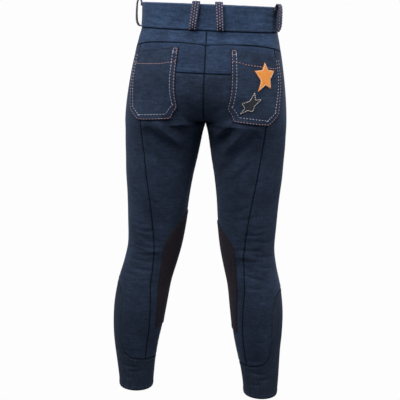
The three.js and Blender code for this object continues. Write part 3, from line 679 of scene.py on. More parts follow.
def elasticKnit(name, dark, light):
    # Fine rib knit with elastane: smoother and darker than the legs, with lengthwise ribs.
    material, principled, place = startMaterial(name, {
        "Roughness": 0.8, "IOR": 1.5, "Specular IOR Level": 0.3,
        "Sheen Weight": 0.2, "Sheen Roughness": 0.45, "Sheen Tint": linear("#7d8ca6"),
    })
    ribs = fineGrain(material, place, 1.7, 24)     # ribs are 1 mm apart, drawn at 1.7 mm so that they show
    cloudy = fineGrain(material, place, 26, 30)
    colour = addNode(material, "ShaderNodeValToRGB", {"ramp": ((0.32, dark), (0.7, light))},
                     {"Fac": ribs}).outputs[0]
    colour = mottle(material, colour, 0.5, cloudy, "#5c5c5c", "#a2a2a2")
    return finished(material, principled, paintShade(material, principled, colour), ribs, 0.5, 0.3)


def microSuede(name, dark, light):
    # Microfibre suede, napped: matt, with a soft nap that shades in small patches.
    material, principled, place = startMaterial(name, {
        "Roughness": 0.95, "IOR": 1.5, "Specular IOR Level": 0.15,
        "Sheen Weight": 0.3, "Sheen Roughness": 0.6, "Sheen Tint": linear("#8a7f8c"),
    })
    nap = fineGrain(material, place, 4, 5, 4)
    fibre = fineGrain(material, place, 0.9, 0.9)   # fibre ends are under 0.1 mm, drawn as tufts of 0.9 mm
    colour = addNode(material, "ShaderNodeValToRGB", {"ramp": ((0.3, dark), (0.7, light))}, {"Fac": nap})
    return finished(material, principled, colour.outputs[0], fibre, 0.4, 0.25)


def flatFibre(name, dark, light, tuft, rough=0.9, sheen=0.2):
    # Felted or twisted fibres without a direction, drawn as tufts of that many millimetres, because
    # a fibre is too fine to show: felt, tape and sewing thread.
    material, principled, place = startMaterial(name, {
        "Roughness": rough, "IOR": 1.5, "Specular IOR Level": 0.25,
        "Sheen Weight": sheen, "Sheen Roughness": 0.5,
    })
    fibre = fineGrain(material, place, tuft, tuft, 4)
    colour = addNode(material, "ShaderNodeValToRGB", {"ramp": ((0.3, dark), (0.7, light))}, {"Fac": fibre})
    return finished(material, principled, colour.outputs[0], fibre, 0.5, 0.25)


def tumbledNickel(name):
    # Zinc alloy, cast and nickel plated, then tumbled: grey metal with a soft gloss and fine scuffs.
    material, principled, place = startMaterial(name, {
        "Base Color": linear("#8d9096"), "Metallic": 1, "Roughness": 0.34,
    })
    return finished(material, principled, None, fineGrain(material, place, 0.7, 0.7, 3), 0.25, 0.08)


# One jersey throughout: its colours are painted lighter on the band and yoke and darker on the seat, pockets
# and legs, as painted light from above and shade lower down.
bandJersey = denimJersey("band_jersey", "#2b3d56", "#466085")
yokeJersey = denimJersey("yoke_jersey", "#2b3d56", "#466085")
seatJersey = denimJersey("seat_jersey", "#293a53", "#42597c")
pocketJersey = denimJersey("pocket_jersey", "#233145", "#394b67")
legJersey = denimJersey("leg_jersey", "#232f43", "#3a4b66")
cuffRib = elasticKnit("cuff_rib", "#1f2a39", "#324157")
kneeSuede = microSuede("knee_microsuede", "#17141a", "#282328")
loopTape = flatFibre("loop_cotton_tape", "#27273a", "#3d3d54", 1.4)
orangeFelt = flatFibre("orange_wool_felt", "#e8862c", "#f7a552", 1.6, 0.95, 0.3)
charcoalFelt = flatFibre("charcoal_wool_felt", "#1d2026", "#30343c", 1.6, 0.95, 0.3)
roseThread = flatFibre("rose_polyester_thread", "#c08d8b", "#e0b3a8", 0.6, 0.6)
paleThread = flatFibre("pale_polyester_thread", "#a9acc6", "#d2d3e2", 0.6, 0.6)
loopThread = flatFibre("mauve_polyester_thread", "#85859c", "#b3b2c4", 0.6, 0.6)
navyThread = flatFibre("navy_polyester_thread", "#3c4d6c", "#506384", 0.6, 0.6)
darkThread = flatFibre("dark_polyester_thread", "#151a24", "#222a38", 0.6, 0.6)
creamThread = flatFibre("cream_cotton_thread", "#e9e6de", "#fbf9f3", 0.6, 0.7)
buttonMetal = tumbledNickel("tumbled_nickel")
print("materials made")


# Waistband: one band round the waist, whose left end laps over the right at the centre front.
bandSet = {
    "overlap": 0.09, "liftRun": 0.08, "clearance": 0.2, "flat": (0.625, 0.042), "area": 0.0262,
    "columns": 260, "rollWidth": 2.2, "topRoll": 1.3, "footRoll": 1.1,
    "topRow": 5, "footRow": 4, "quilting": 0.28, "quiltWidth": 1.1, "shade": 1.4,
    "thread": {"pitch": 3, "fill": 0.72, "radius": 0.28}, "threadSink": 0.15,
    "waves": ((0.3, 21, 9, 0), (0.22, 47, -14, 1.3)), "foldTilt": 9, "foldWidth": 2.4,
    "folds": [(0.82, 8, 0.09, -0.7), (0.74, -4, 0.08, -0.8), (0.88, -9, 0.06, -0.6), (0.66, 4, 0.05, -0.8),
              (1.16, 6, 0.1, -0.7), (1.25, -5, 0.08, -0.8), (1.36, 3, 0.06, -0.7), (1.09, -8, 0.05, -0.6),
              (0.3, 4, 0.1, -0.5), (1.7, -3, 0.1, -0.5)],
}


def bandPlaces(way):
    # Side and share for each place along the band: 0 to 1 on the right, then back on the left.
    return np.where(way < 1, way, 2 - way)


def bandPoints(way, h, out):
    share = bandPlaces(way)
    right = clothPoint("right", share, h, out)
    lap = cut["bandWall"] + bandSet["clearance"]
    lift = lap * smoothstep(2 - bandSet["liftRun"], 2, way)
    left = clothPoint("left", share, h, out + lift)
    return np.where((way < 1)[..., None], right, left)


def bandWaves(way, h):
    # Slow waves: size, radians along the band, millimetres a radian up it, offset. Then the soft
    # level folds where it bends: way, height, length and depth.
    waves = sum(size * np.sin(way * along + h / up + offset) for size, along, up, offset in bandSet["waves"])
    for foldWay, foldH, foldLength, depth in bandSet["folds"]:
        tilted = (h - foldH - (way - foldWay) * bandSet["foldTilt"]) / bandSet["foldWidth"]
        waves = waves + depth * np.exp(-((way - foldWay) / foldLength) ** 2 - tilted ** 2)
    return waves


def makeWaistband():
    ways = np.linspace(0, 2 + bandSet["overlap"], bandSet["columns"])
    heights = mix(cut["bandTop"], cut["bandBottom"], gridSteps(bandHeight, 2.2))
    h, way = np.meshgrid(heights, ways, indexing="ij")
    fromTop, fromFoot = cut["bandTop"] - h, h - cut["bandBottom"]
    topRoll, footRoll = (1 - np.sqrt(1 - np.clip(1 - away / bandSet["rollWidth"], 0, 1) ** 2)
                         for away in (fromTop, fromFoot))
    waves = bandWaves(way, h)
    quilt = sum(-bandSet["quilting"] * np.exp(-((away - row) / bandSet["quiltWidth"]) ** 2)
                for away, row in ((fromTop, bandSet["topRow"]), (fromFoot, bandSet["footRow"])))
    proud = cut["bandProud"]
    rolled = bandSet["topRoll"] * topRoll
    outer = bandPoints(way, h, proud + waves + quilt - rolled - bandSet["footRoll"] * footRoll)
    inner = bandPoints(way, h, proud - cut["bandWall"] + waves * 0.3 + rolled)
    points, faces = closedWall(outer, inner)
    # Painted shade along the band's foot, where it stands proud of the yoke.
    near = np.exp(-(fromFoot / bandSet["shade"]) ** 2)
    shade = np.concatenate([near.ravel(), np.zeros(near.size)])
    band = makePiece("jersey_waistband", points, faces.tolist(), bandJersey, shade)
    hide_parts("waistband")
    return band


makeWaistband()
print("waistband sewn")


# Panels of the body and legs. Each flat size is the cut before sewing, in metres. The spread is
# the width and length that the panel's points are spread over, in millimetres.
panelSet = {
    "yoke": {"flat": (0.175, 0.022), "area": 0.0036, "spread": (175, 21)},
    "seat": {"flat": (0.13, 0.046), "area": 0.0054, "spread": (115, 40)},
    "legFront": {"flat": (0.27, 0.63), "area": 0.125},
    "legBack": {"flat": (0.125, 0.52), "area": 0.044, "spread": (100, 505)},
    "cuff": {"flat": (0.19, 0.2), "area": 0.024, "length": 110},
}
sideColumns = 9
frontColumns = 11


def sewPanel(node):
    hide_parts(node)


seamShadeFade = {"fade": 0.7, "starts": (0.87, 0.93), "ends": (0.996, 0.985)}


def nearCentreBack(grid, rows):
    # The painted shade along the yoke's seam is mostly taken off beside the centre back.
    share = grid[..., 0]
    flat = smoothstep(*seamShadeFade["starts"], share) * smoothstep(*seamShadeFade["ends"], share)
    fade = 1 - seamShadeFade["fade"] * flat
    return np.where(np.isin(np.arange(len(grid)), rows)[:, None], fade, 1)


def makeYoke(side):
    width, length = panelSet["yoke"]["spread"]
    u = gridSteps(width)
    footShare = mix(cut["yokeEndFoot"], 1, u)
    spread = (1 - cut["yokeEndTop"]) / (1 - cut["yokeEndFoot"])
    bottom = np.stack([footShare, yokeSeam(footShare)], -1)
    top = np.stack([1 - (1 - footShare) * spread, np.full(len(u), cut["bandBottom"])], -1)
    v = gridSteps(length, 2)[:, None]
    grid = fillEdges(top, bottom, mix(top[0], bottom[0], v), mix(top[-1], bottom[-1], v), u)
    fade = nearCentreBack(grid, np.arange(len(grid) // 2, len(grid)))
    piece = clothWall(f"jersey_yoke_{side}", side, grid, seamed, yokeJersey, fade=fade)
    sewPanel(f"yoke_{side}")


def backPanel(side, topHeight, bottomHeight, name, material, width, length, fadedRows=()):
    # A panel between the seam behind the leg and the centre back or the inseam.
    u = gridSteps(width)
    steps = gridSteps(length)

    def edge(heightAt):
        first = float(backSeam(heightAt(backSeam(heightAt(backSeamStart)))))
        share = mix(first, 1.0, u)
        return np.stack([share, heightAt(share)], -1)

    top, bottom = edge(topHeight), edge(bottomHeight)
    startH = mix(top[0, 1], bottom[0, 1], steps)
    endH = mix(top[-1, 1], bottom[-1, 1], steps)
    start = np.stack([backSeam(startH), startH], -1)
    end = np.stack([np.ones(len(endH)), endH], -1)
    grid = fillEdges(top, bottom, start, end, u)
    fade = nearCentreBack(grid, fadedRows)
    return clothWall(name, side, grid, seamed, material, fade=fade)


def seatSeam(share):
    return cut["seatSeam"] + 0 * np.asarray(share, float)


seamSamples = cuffSeam(np.linspace(len(cuffEdge) - 1, len(seamPoints) - 1, 400))


def cuffTop(share):
    return np.interp(share, seamSamples[:, 0], seamSamples[:, 1])


def makeSeat(side):
    piece = backPanel(side, yokeSeam, seatSeam, f"jersey_seat_{side}", seatJersey,
                      *panelSet["seat"]["spread"], range(6))
    sewPanel(f"seat_{side}")


def makeLegBack(side):
    piece = backPanel(side, seatSeam, cuffTop, f"jersey_leg_back_{side}", legJersey,
                      *panelSet["legBack"]["spread"])
    sewPanel(f"leg_back_{side}")


def seamSteps(last, step):
    # Places along the cuff's seam, about a step apart, up to a last place.
    places = []
    for index in range(int(math.ceil(last))):
        end = min(index + 1, last)
        run = (seamPoints[index + 1] - seamPoints[index]) * (cut["legGirth"], 1)
        count = max(int(round(np.hypot(*run) * (end - index) / step)), 3)
        places += list(np.linspace(index, end, count, endpoint=False))
    return np.array(places + [last])


def makeLegFront(side):
    # The columns fan out round the cuff's tongue, so the panel is laid out in two stretches.
    lastWhole = frontColumns + sideColumns
    stretch = np.linspace(0, 1, 50)
    lastPlace = lastWhole + float(np.interp(backSeamFoot, cuffSeam(lastWhole + stretch)[:, 0], stretch))
    places = seamSteps(lastPlace, 3)
    ends = np.array([0.035, 0.09, 0.17, 0.28])                # closer together at both ends
    places = np.unique(np.concatenate([places, ends, lastPlace - ends * 0.6]))
    foot = cuffSeam(places)
    foot[0, 0], foot[-1, 0] = 0, backSeamFoot
    across = np.where(places > lastWhole, lastWhole + (places - lastWhole) / (lastPlace - lastWhole), places)
    across = across / (lastWhole + 1)
    column = across * (lastWhole + 1)
    bandShare = cut["yokeEndTop"] * np.minimum(column / frontColumns, 1)
    sideRun = np.clip((column - frontColumns - 1) / sideColumns, 0, 1)
    seamShare = mix(cut["yokeEndFoot"], backSeamStart, sideRun)
    slant = np.clip(column - frontColumns, 0, 1)
    onBand = np.stack([bandShare, np.full(len(column), cut["bandBottom"])], -1)
    onYoke = np.stack([seamShare, yokeSeam(seamShare)], -1)
    top = mix(onBand, onYoke, slant[:, None])

    seatSteps = gridSteps(cut["bandBottom"] - cut["seatSeam"])[:-1]
    legSteps = gridSteps(cut["seatSeam"] - cut["cuffSeam"])
    legSteps = np.concatenate([[0], legSteps[legSteps > 0.004]])

    def edgeHeights(first, last):
        upper = mix(first, cut["seatSeam"], seatSteps)
        return np.concatenate([upper, mix(cut["seatSeam"], last, legSteps)])

    startH = edgeHeights(top[0, 1], foot[0, 1])
    endH = edgeHeights(top[-1, 1], foot[-1, 1])
    start = np.stack([np.zeros(len(startH)), startH], -1)
    end = np.stack([backSeam(endH), endH], -1)
    end[0], end[-1] = top[-1], foot[-1]
    split = int(np.argmax(startH < cut["tongueClear"]))
    share = np.where(column <= frontColumns,
                     mix(start[split, 0], cut["yokeEndTop"], column / frontColumns),
                     mix(cut["yokeEndTop"], end[split, 0], (column - frontColumns) / (sideColumns + 1)))
    middle = np.stack([share, mix(start[split, 1], end[split, 1], across)], -1)
    upper = fillEdges(top, middle, start[:split + 1], end[:split + 1], across)
    lower = fillEdges(middle, foot, start[split:], end[split:], across)
    grid = np.concatenate([upper, lower[1:]])
    piece = clothWall(f"jersey_leg_front_{side}", side, grid, seamed, legJersey)
    sewPanel(f"leg_front_{side}")


hemSet = {"fold": 0.35, "foldTop": (16, 12), "groove": 0.3, "grooveAt": 12.5, "grooveWidth": 1.3}


def makeCuff(side):
    places = seamSteps(len(seamPoints) - 1, 2.6)
    top = cuffSeam(places)[:-1]
    even = (top[:, 0] + np.arange(len(top)) / len(top)) / 2
    v = gridSteps(panelSet["cuff"]["length"], 2.2)[:, None]
    share = mix(top[None, :, 0], even[None], v ** 2)
    h = mix(top[None, :, 1], cut["hem"], v)
    grid = np.stack([share, h], -1)
    fromHem = h - cut["hem"]
    groove = hemSet["groove"] * np.exp(-((fromHem - hemSet["grooveAt"]) / hemSet["grooveWidth"]) ** 2)
    hemFold = hemSet["fold"] * smoothstep(*hemSet["foldTop"], fromHem) - groove
    piece = clothWall(f"knit_cuff_{side}", side, grid, seamed, cuffRib,
                      wall=cut["cuffWall"], ring=True, extra=hemFold)
    sewPanel(f"cuff_{side}")


for side in sides:
    makeSeat(side)
    makeLegBack(side)
    makeLegFront(side)
    makeYoke(side)
    makeCuff(side)
print("panels sewn")


# Patch pockets, on the seat. Their foot runs from the inner to the outer end: part of the way
# along, share, height.
pocketTop = {"innerShare": 0.908, "innerZ": -47, "outerShare": 0.62, "outerZ": -59}
pocketFoot = np.array([(0, 0.908, -141), (0.25, 0.831, -161), (0.8, 0.656, -165), (1, 0.609, -148)])
pocketShift = {"left": -0.003, "right": 0.005}
pocketSet = {
    "flat": (0.1, 0.112), "area": 0.0099, "outerRow": 2.2, "rowSpacing": 6.4,
    "hemRow": {"left": (0.225, 0.185), "right": (0.185, 0.18)},      # shares down its inner and outer edge
    "thread": {"pitch": 5, "fill": 0.52, "radius": 0.42},     # real ones are 3 mm, drawn longer to show
    "tack": {"pitch": 1.5, "fill": 0.9, "radius": 0.3}, "tackSpan": (2, 8),
    "gape": 0.5, "gapeDown": 0.16, "stitchRise": 0.2, "width": 100, "length": 110, "ruler": (-105, 0.55, 1),
}


def pocketPlace(side, along, v):
    footShare = np.interp(along, pocketFoot[:, 0], pocketFoot[:, 1])
    footZ = np.interp(along, pocketFoot[:, 0], pocketFoot[:, 2])
    topShare = mix(pocketTop["innerShare"], pocketTop["outerShare"], along)
    topZ = mix(pocketTop["innerZ"], pocketTop["outerZ"], along)
    share = mix(topShare, footShare, v) + pocketShift[side] * (1 - along)
    return share, mix(topZ, footZ, v)


def pocketOutlineFlat(side):
    # The pocket's outline laid flat, in millimetres round the seat and up.
    shares, lengths = ruler(side, *pocketSet["ruler"])
    corners = [(0, 0)] + [(along, 1) for along in pocketFoot[:, 0]] + [(1, 0)]
    loop = []
    for (a1, v1), (a2, v2) in zip(corners, corners[1:] + corners[:1]):
        t = np.linspace(0, 1, 30, endpoint=False)
        share, z = pocketPlace(side, mix(a1, a2, t), mix(v1, v2, t))
        loop.append(np.stack([np.interp(share, shares, lengths), z], -1))
    return loop, shares, lengths


def onSeat(side, flat, shares, lengths):
    share = np.interp(flat[:, 0], lengths, shares)
    return np.stack([share, heightFor(side, share, flat[:, 1])], -1)


def makePocket(side):
    alongs = np.unique(np.concatenate([gridSteps(pocketSet["width"], 2), pocketFoot[:, 0]]))
    along, v = np.meshgrid(alongs, gridSteps(pocketSet["length"], 2), indexing="xy")
    share, z = pocketPlace(side, along, v)
    grid = np.stack([share, heightFor(side, share, z)], -1)
    gape = pocketSet["gape"] * smoothstep(pocketSet["gapeDown"], 0, v) * np.sin(math.pi * along)
    out = cut["patchClearance"] + cut["patchWall"]
    piece = clothWall(f"jersey_pocket_{side}", side, grid, patched, pocketJersey,
                      out=out, wall=cut["patchWall"], extra=gape)
    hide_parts(f"pocket_{side}")

    loop, shares, lengths = pocketOutlineFlat(side)
    sizes = [len(part) for part in loop]
    outline = np.concatenate(loop)
    rose, pale = newStore(), newStore()
    surface = out + pocketSet["stitchRise"]
    for store, inset in ((rose, 0), (pale, pocketSet["rowSpacing"])):
        line = insetLoop(outline, pocketSet["outerRow"] + inset)[:sum(sizes[:5])]
        line = line[line[:, 1] < pocketPlace(side, 0.5, 0)[1] + 3]
        sewRow(store, side, onSeat(side, line, shares, lengths), surface, **pocketSet["thread"])
    inner, outer = pocketSet["hemRow"][side]
    hemEnds = [pocketPlace(side, a, mix(inner, outer, a)) for a in np.linspace(0.015, 0.985, 40)]
    hem = np.array([(np.interp(share, shares, lengths), z) for share, z in hemEnds])
    sewRow(rose, side, onSeat(side, hem, shares, lengths), surface, **pocketSet["thread"])
    corner = np.interp(pocketPlace(side, 0, 0.01)[0], shares, lengths)
    near, far = pocketSet["tackSpan"]
    high, low = pocketTop["innerZ"] - near, pocketTop["innerZ"] - far
    for store, inset, level in ((rose, near, high), (pale, far, low)):
        down = np.array([(corner - inset, high), (corner - inset, low)])
        across = np.array([(corner - near, level), (corner - far, level)])
        for rows in (down, across):
            sewRow(store, side, onSeat(side, rows, shares, lengths), surface + 0.1, **pocketSet["tack"])
    stitches = [threadPiece(f"pocket_stitches_rose_{side}", rose, roseThread),
                threadPiece(f"pocket_stitches_pale_{side}", pale, paleThread)]


# Knee patches, round the inner knees: height, and how far they reach behind and before the inseam
kneePatchEdge = np.array([
    (-343, 0.025, 0.02), (-352, 0.085, 0.075), (-364, 0.142, 0.13), (-382, 0.178, 0.165),
    (-404, 0.173, 0.17), (-434, 0.156, 0.165), (-474, 0.131, 0.15), (-500, 0.118, 0.135),
    (-527, 0.108, 0.12),
])
kneePatchRise = {"left": 18, "right": 4}      # how much higher each patch's tip reaches
patchSet = {"flat": (0.102, 0.195), "area": 0.0172, "wall": 0.8, "clearance": 0.7, "width": 100,
            "rows": (2.2, 5.4), "rise": 0.15, "pitch": 2.8, "ruler": (-430, 0.75, 1.25)}


def makeKneePatch(side):
    first, last = kneePatchEdge[0, 0], kneePatchEdge[-1, 0]
    heights = mix(first, last, gridSteps(first - last))
    behind, before = (readTable(kneePatchEdge, column, heights) for column in (1, 2))
    u = gridSteps(patchSet["width"])
    share = mix((1 - behind)[:, None], (1 + before)[:, None], u[None])
    widest = kneePatchEdge[3, 0]
    heights = heights + kneePatchRise[side] * np.maximum((heights - widest) / (first - widest), 0)
    grid = np.stack([share, np.broadcast_to(heights[:, None], share.shape)], -1)
    out = patchSet["clearance"] + patchSet["wall"]
    piece = clothWall(f"suede_knee_patch_{side}", side, grid, laidFlat, kneeSuede,
                      out=out, wall=patchSet["wall"])
    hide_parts(f"knee_patch_{side}")
    shares, lengths = ruler(side, *patchSet["ruler"])
    left = np.stack([np.interp(1 - behind, shares, lengths), heights], -1)
    right = np.stack([np.interp(1 + before, shares, lengths), heights], -1)
    foot = np.linspace(left[-1], right[-1], 40)[1:-1]
    head = np.linspace(right[0], left[0], 8)[1:-1]
    outline = resample(np.concatenate([left, foot, right[::-1], head, left[:1]]), 2.4)[:-1]
    store = newStore()
    for inset in patchSet["rows"]:
        line = insetLoop(outline, inset)
        line = np.concatenate([line, line[:1]])
        places = np.stack([np.interp(line[:, 0], lengths, shares), line[:, 1]], -1)
        sewRow(store, side, places, out + patchSet["rise"], pitch=patchSet["pitch"])
    stitches = threadPiece(f"knee_patch_stitches_{side}", store, darkThread)


for side in sides:
    makePocket(side)
    makeKneePatch(side)
print("pockets and knee patches sewn")


# Belt loops: straps of doubled tape, folded over the band's top and standing clear of it.
loopSet = {"width": 12, "wall": 2, "flat": (0.013, 0.056), "area": 0.00066, "braids": 3,
           "ridge": 0.16, "thinEdge": 0.35, "rows": 3, "rowSpread": 0.99, "pitch": 4.4, "fill": 0.5,
           "thread": 0.75}
loopRoute = np.array([
    (14, 2.8), (20, 3), (24, 4.6), (23.8, 7.4), (19, 9.2),
    (8, 9.8), (-4, 9.8), (-12, 8.8), (-17, 6.2), (-19, 2.9),
])                                    # height, distance out
lowLoopRoute = np.array([(12.8, 2.8), (16, 3), (18.4, 4.6), (18.2, 7.6), (15, 9.6)] + loopRoute[5:].tolist())
loops = [
    ("back_left", "left", 0.963, -0.009, loopRoute), ("back_right", "right", 0.964, -0.008, loopRoute),
    ("side_left", "left", 0.53, -0.02, loopRoute), ("side_right", "right", 0.605, 0, loopRoute),
    ("front_left", "left", 0.13, 0, lowLoopRoute), ("front_right", "right", 0.13, 0, lowLoopRoute),
]                                     # name, side, share at the top, lean towards the foot, route


def smoothRoute(points, each):
    # A smooth line through points, with so many steps between two of them.
    padded = np.concatenate([[2 * points[0] - points[1]], points, [2 * points[-1] - points[-2]]])
    line = [between(*four, t) for four in zip(padded, padded[1:], padded[2:], padded[3:])
            for t in np.linspace(0, 1, each, endpoint=False)]
    return np.array(line + [points[-1]])


def makeLoop(name, side, share, lean, corners):
    route = smoothRoute(corners, 7)
    run, rise = np.gradient(route[:, 0]), np.gradient(route[:, 1])
    length = np.hypot(run, rise)
    perShare = shareLength(clothPoint(side, share + shareEnds, 0.0, cut["bandProud"]))
    middle = share + lean * (cut["bandTop"] - route[:, 0]) / bandHeight
    across = np.linspace(-0.5, 0.5, 21)

    def layer(offset, acrossParts):
        h = route[:, 0] + rise / length * offset
        out = route[:, 1] - run / length * offset
        places = middle[:, None] + acrossParts[None] * loopSet["width"] / perShare
        return clothPoint(side, places, np.broadcast_to(h[:, None], places.shape),
                          np.broadcast_to(out[:, None], places.shape))

    half = loopSet["wall"] / 2
    outer, inner, core = layer(half, across), layer(-half, across), layer(0.0, across)
    roll = np.sqrt(np.clip(1 - np.abs(across * 2) ** 6, 0, 1))[None, :, None]
    ridges = (loopSet["ridge"] * np.cos(across * 2 * math.pi * loopSet["braids"]))[None, :, None]
    thickness = half * mix(loopSet["thinEdge"], 1, roll)
    outer = core + (outer - core) / half * (thickness + ridges)
    inner = core + (inner - core) / half * thickness
    points, faces = closedWall(outer, inner)
    strap = makePiece(f"tape_loop_{name}", points, faces.tolist(), loopTape)
    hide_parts(f"loop_{name}")

    # rows of short stitches, every other row half a stitch further on
    store = newStore()
    pitch, fill = loopSet["pitch"], loopSet["fill"]
    rows = loopSet["rows"]
    for row in range(rows):
        offset = ((row + 0.5) / rows - 0.5) * loopSet["rowSpread"]
        surface, core = layer(half + 0.1, np.array([offset]))[:, 0], layer(0.0, np.array([offset]))[:, 0]
        ways = (surface - core) / np.linalg.norm(surface - core, axis=1, keepdims=True)
        along = arcs(surface[:, None], 0)[:, 0]
        for start in np.arange(1 + row % 2 * pitch / 2, along[-1] - pitch, pitch):
            ends = np.array([start, start + pitch * fill])
            spots, up = (np.stack([np.interp(ends, along, part[:, axis]) for axis in range(3)], -1)
                         for part in (surface, ways))
            addStitches(store, spots, up, 2 * pitch, 1, loopSet["thread"])     # one stitch
    stitches = threadPiece(f"loop_stitches_{name}", store, loopThread)


for loop in loops:
    makeLoop(*loop)
print("belt loops sewn")


# Fly: a facing on the left front with a rounded foot, and its curved topstitching
flySet = {"start": 0.004, "width": 0.105, "top": -21, "straightEnd": -78, "footDrop": 22,
          "rows": (0.1, 0.22), "turnsAt": 0.6, "footReach": 0.33, "flat": (0.056, 0.082), "area": 0.0043}


def flyPlaces(across, down):
    # Share and height on the fly, from its parts across and down.
    foot = flySet["straightEnd"] - flySet["footDrop"] * np.sqrt(np.maximum(1 - across ** 2, 0))
    return np.stack([flySet["start"] + flySet["width"] * across, mix(flySet["top"], foot, down)], -1)


def makeFly():
    parts = gridSteps(40, 1.6)
    u, v = np.meshgrid(parts, gridSteps(79, 2.2), indexing="xy")
    out = cut["patchClearance"] + cut["patchWall"]
    piece = clothWall("jersey_fly", "left", flyPlaces(u, v), patched, seatJersey,
                      out=out, wall=cut["patchWall"])
    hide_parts("fly")
    store = newStore()
    turned = np.linspace(0, 1, 40)[1:-2] * math.pi / 2
    for inset in flySet["rows"]:
        drop = flySet["footReach"] - inset * 0.6
        across = np.concatenate([np.full(20, 1 - inset), (1 - inset) * np.cos(turned)])
        down = np.concatenate([np.linspace(0.02, flySet["turnsAt"], 20),
                               flySet["turnsAt"] + drop * np.sin(turned)])
        sewRow(store, "left", flyPlaces(across, down), out + 0.2)
    stitches = threadPiece("fly_stitches", store, roseThread)


makeFly()
print("fly sewn")


# Five-pointed felt stars on the right pocket
stars = [
    ("felt_star_orange", "star_orange", 0.746, -85, orangeFelt, "felt_orange"),
    ("felt_star_charcoal", "star_charcoal", 0.802, -117, charcoalFelt, "felt_charcoal"),
]                                     # name, node, share, height, felt, slot
starSet = {"outerRadius": 19, "innerRadius": 9, "points": 5, "felt": 1, "proud": 0.5, "stitchedAt": 0.86,
           "rings": (0.02, 0.2, 0.4, 0.6, 0.78, 0.9, 0.96, 1), "crown": 0.35, "rim": 0.2,
           "edgeFall": 0.02, "thread": {"pitch": 2.9, "fill": 0.7, "radius": 0.36}, "threadRise": 0.25,
           "flat": (0.0365, 0.035), "area": 0.0005}


def makeStar(name, node, share, h, material, slot):
    perShare = shareLength(smoothPoint("right", share + shareEnds, h))
    corner = np.arange(starSet["points"] * 2)
    radius = np.where(corner % 2 == 0, starSet["outerRadius"], starSet["innerRadius"])
    angle = math.pi * corner / starSet["points"]
    corners = np.stack([np.sin(angle) * radius, np.cos(angle) * radius], -1)
    outline = np.concatenate([mix(a, b, np.linspace(0, 1, 8, endpoint=False)[:, None])
                              for a, b in zip(corners, np.roll(corners, -1, 0))])
    rings = np.array(starSet["rings"])
    flat = rings[:, None, None] * outline[None]
    out = cut["patchClearance"] + cut["patchWall"] + starSet["proud"]
    crown = starSet["crown"] * (1 - rings ** 6 - np.exp((rings - 1) / starSet["edgeFall"]))

    def place(points, distance):
        return clothPoint("right", share + points[..., 0] / perShare, h + points[..., 1], distance)

    top = out + starSet["felt"] - starSet["rim"]
    outer = place(flat, top + np.broadcast_to(crown[:, None], flat.shape[:2]))
    inner = place(flat, out)
    points, faces = closedWall(outer, inner, True)
    count, innerStart = len(outline), len(outline) * len(rings)
    atHole = np.isin(faces, np.concatenate([np.arange(count), np.arange(count) + innerStart])).all(1)
    sheetFaces = faces[~atHole].tolist()
    topCap, footCap = list(range(count)), list(range(innerStart, innerStart + count))
    towards = outer[0].mean(0) - inner[0].mean(0)
    ring = np.cross(outer[0, 0] - outer[0].mean(0), outer[0, 2] - outer[0].mean(0))
    sheetFaces.append(topCap if ring @ towards > 0 else topCap[::-1])
    sheetFaces.append(footCap[::-1] if ring @ towards > 0 else footCap)
    piece = makePiece(name, points, sheetFaces, material)
    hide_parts(node)
    line = np.concatenate([outline, outline[:1]]) * starSet["stitchedAt"]
    store = newStore()
    dense = resample(line, 1)
    spots = place(dense, out + starSet["felt"] + starSet["threadRise"])
    normals = outward("right", share + dense[:, 0] / perShare, h + dense[:, 1])
    addStitches(store, spots, normals, **starSet["thread"])
    stitches = threadPiece(f"{name}_stitches", store, creamThread)


for star in stars:
    makeStar(*star)
print("stars sewn")


# Seams and hems
seamSet = {
    "tonal": {"radius": 0.28}, "hem": {"pitch": 2.6, "radius": 0.3},
    "leg": {"pitch": 2.8, "fill": 0.8, "radius": 0.32}, "cuff": {"pitch": 2.8, "fill": 0.8, "radius": 0.3},
    "seamOffset": 2.4, "hemRows": (4, 7), "legRow": 5.5, "cuffRow": 4,
}


def makeSeamStitches(side):
    tonal = newStore()
    for first, last, count, heightAt in ((backSeamStart + 0.01, 0.98, 60, yokeSeam),
                                         (cut["yokeEndFoot"] + 0.01, backSeamStart, 40, yokeSeam),
                                         (0.915, 0.98, 20, seatSeam)):
        shares = np.linspace(first, last, count)
        row = np.stack([shares, heightAt(shares) + seamSet["seamOffset"]], -1)
        sewRow(tonal, side, row, 0.25, **seamSet["tonal"])
    threadPiece(f"seam_stitches_{side}", tonal, navyThread)

    dark = newStore()
    heights = np.linspace(-176, cut["cuffSeam"] + 6, 300)
    seam = backSeam(heights) + seamSet["legRow"] / cut["legGirth"]
    sewRow(dark, side, np.stack([seam, heights], -1), 0.1, **seamSet["leg"])
    line = cuffSeam(np.linspace(0.2, len(seamPoints) - 1.2, 500), -seamSet["cuffRow"])
    sewRow(dark, side, line, 0.1, **seamSet["cuff"])
    threadPiece(f"leg_stitches_{side}", dark, darkThread)

    navy = newStore()
    for first, last in ((0.2, 2.8), (19.2, 21.8)):             # below the cuff's seam, beside the inseam
        line = cuffSeam(np.linspace(first, last, 120), seamSet["cuffRow"])
        sewRow(navy, side, line, 0.1, **seamSet["leg"])
    around = np.linspace(0, 1, 160)
    for rise in seamSet["hemRows"]:
        row = np.stack([around, np.full(160, cut["hem"] + rise)], -1)
        sewRow(navy, side, row, 0.45, **seamSet["hem"])
    threadPiece(f"hem_stitches_{side}", navy, navyThread)


def makeBandStitches():
    store = newStore()
    for h in (cut["bandTop"] - bandSet["topRow"], cut["bandBottom"] + bandSet["footRow"]):
        ways = np.linspace(0.03, 2 + bandSet["overlap"] - 0.02, 700)
        out = cut["bandProud"] + bandWaves(ways, h) - bandSet["threadSink"]
        points = bandPoints(ways, np.full(len(ways), float(h)), out)
        normals = np.where((ways < 1)[:, None], outward("right", bandPlaces(ways), h),
                           outward("left", bandPlaces(ways), h))
        addStitches(store, points, normals, **bandSet["thread"])
    threadPiece("band_stitches", store, navyThread)


for side in sides:
    makeSeamStitches(side)
makeBandStitches()
print("seams stitched")


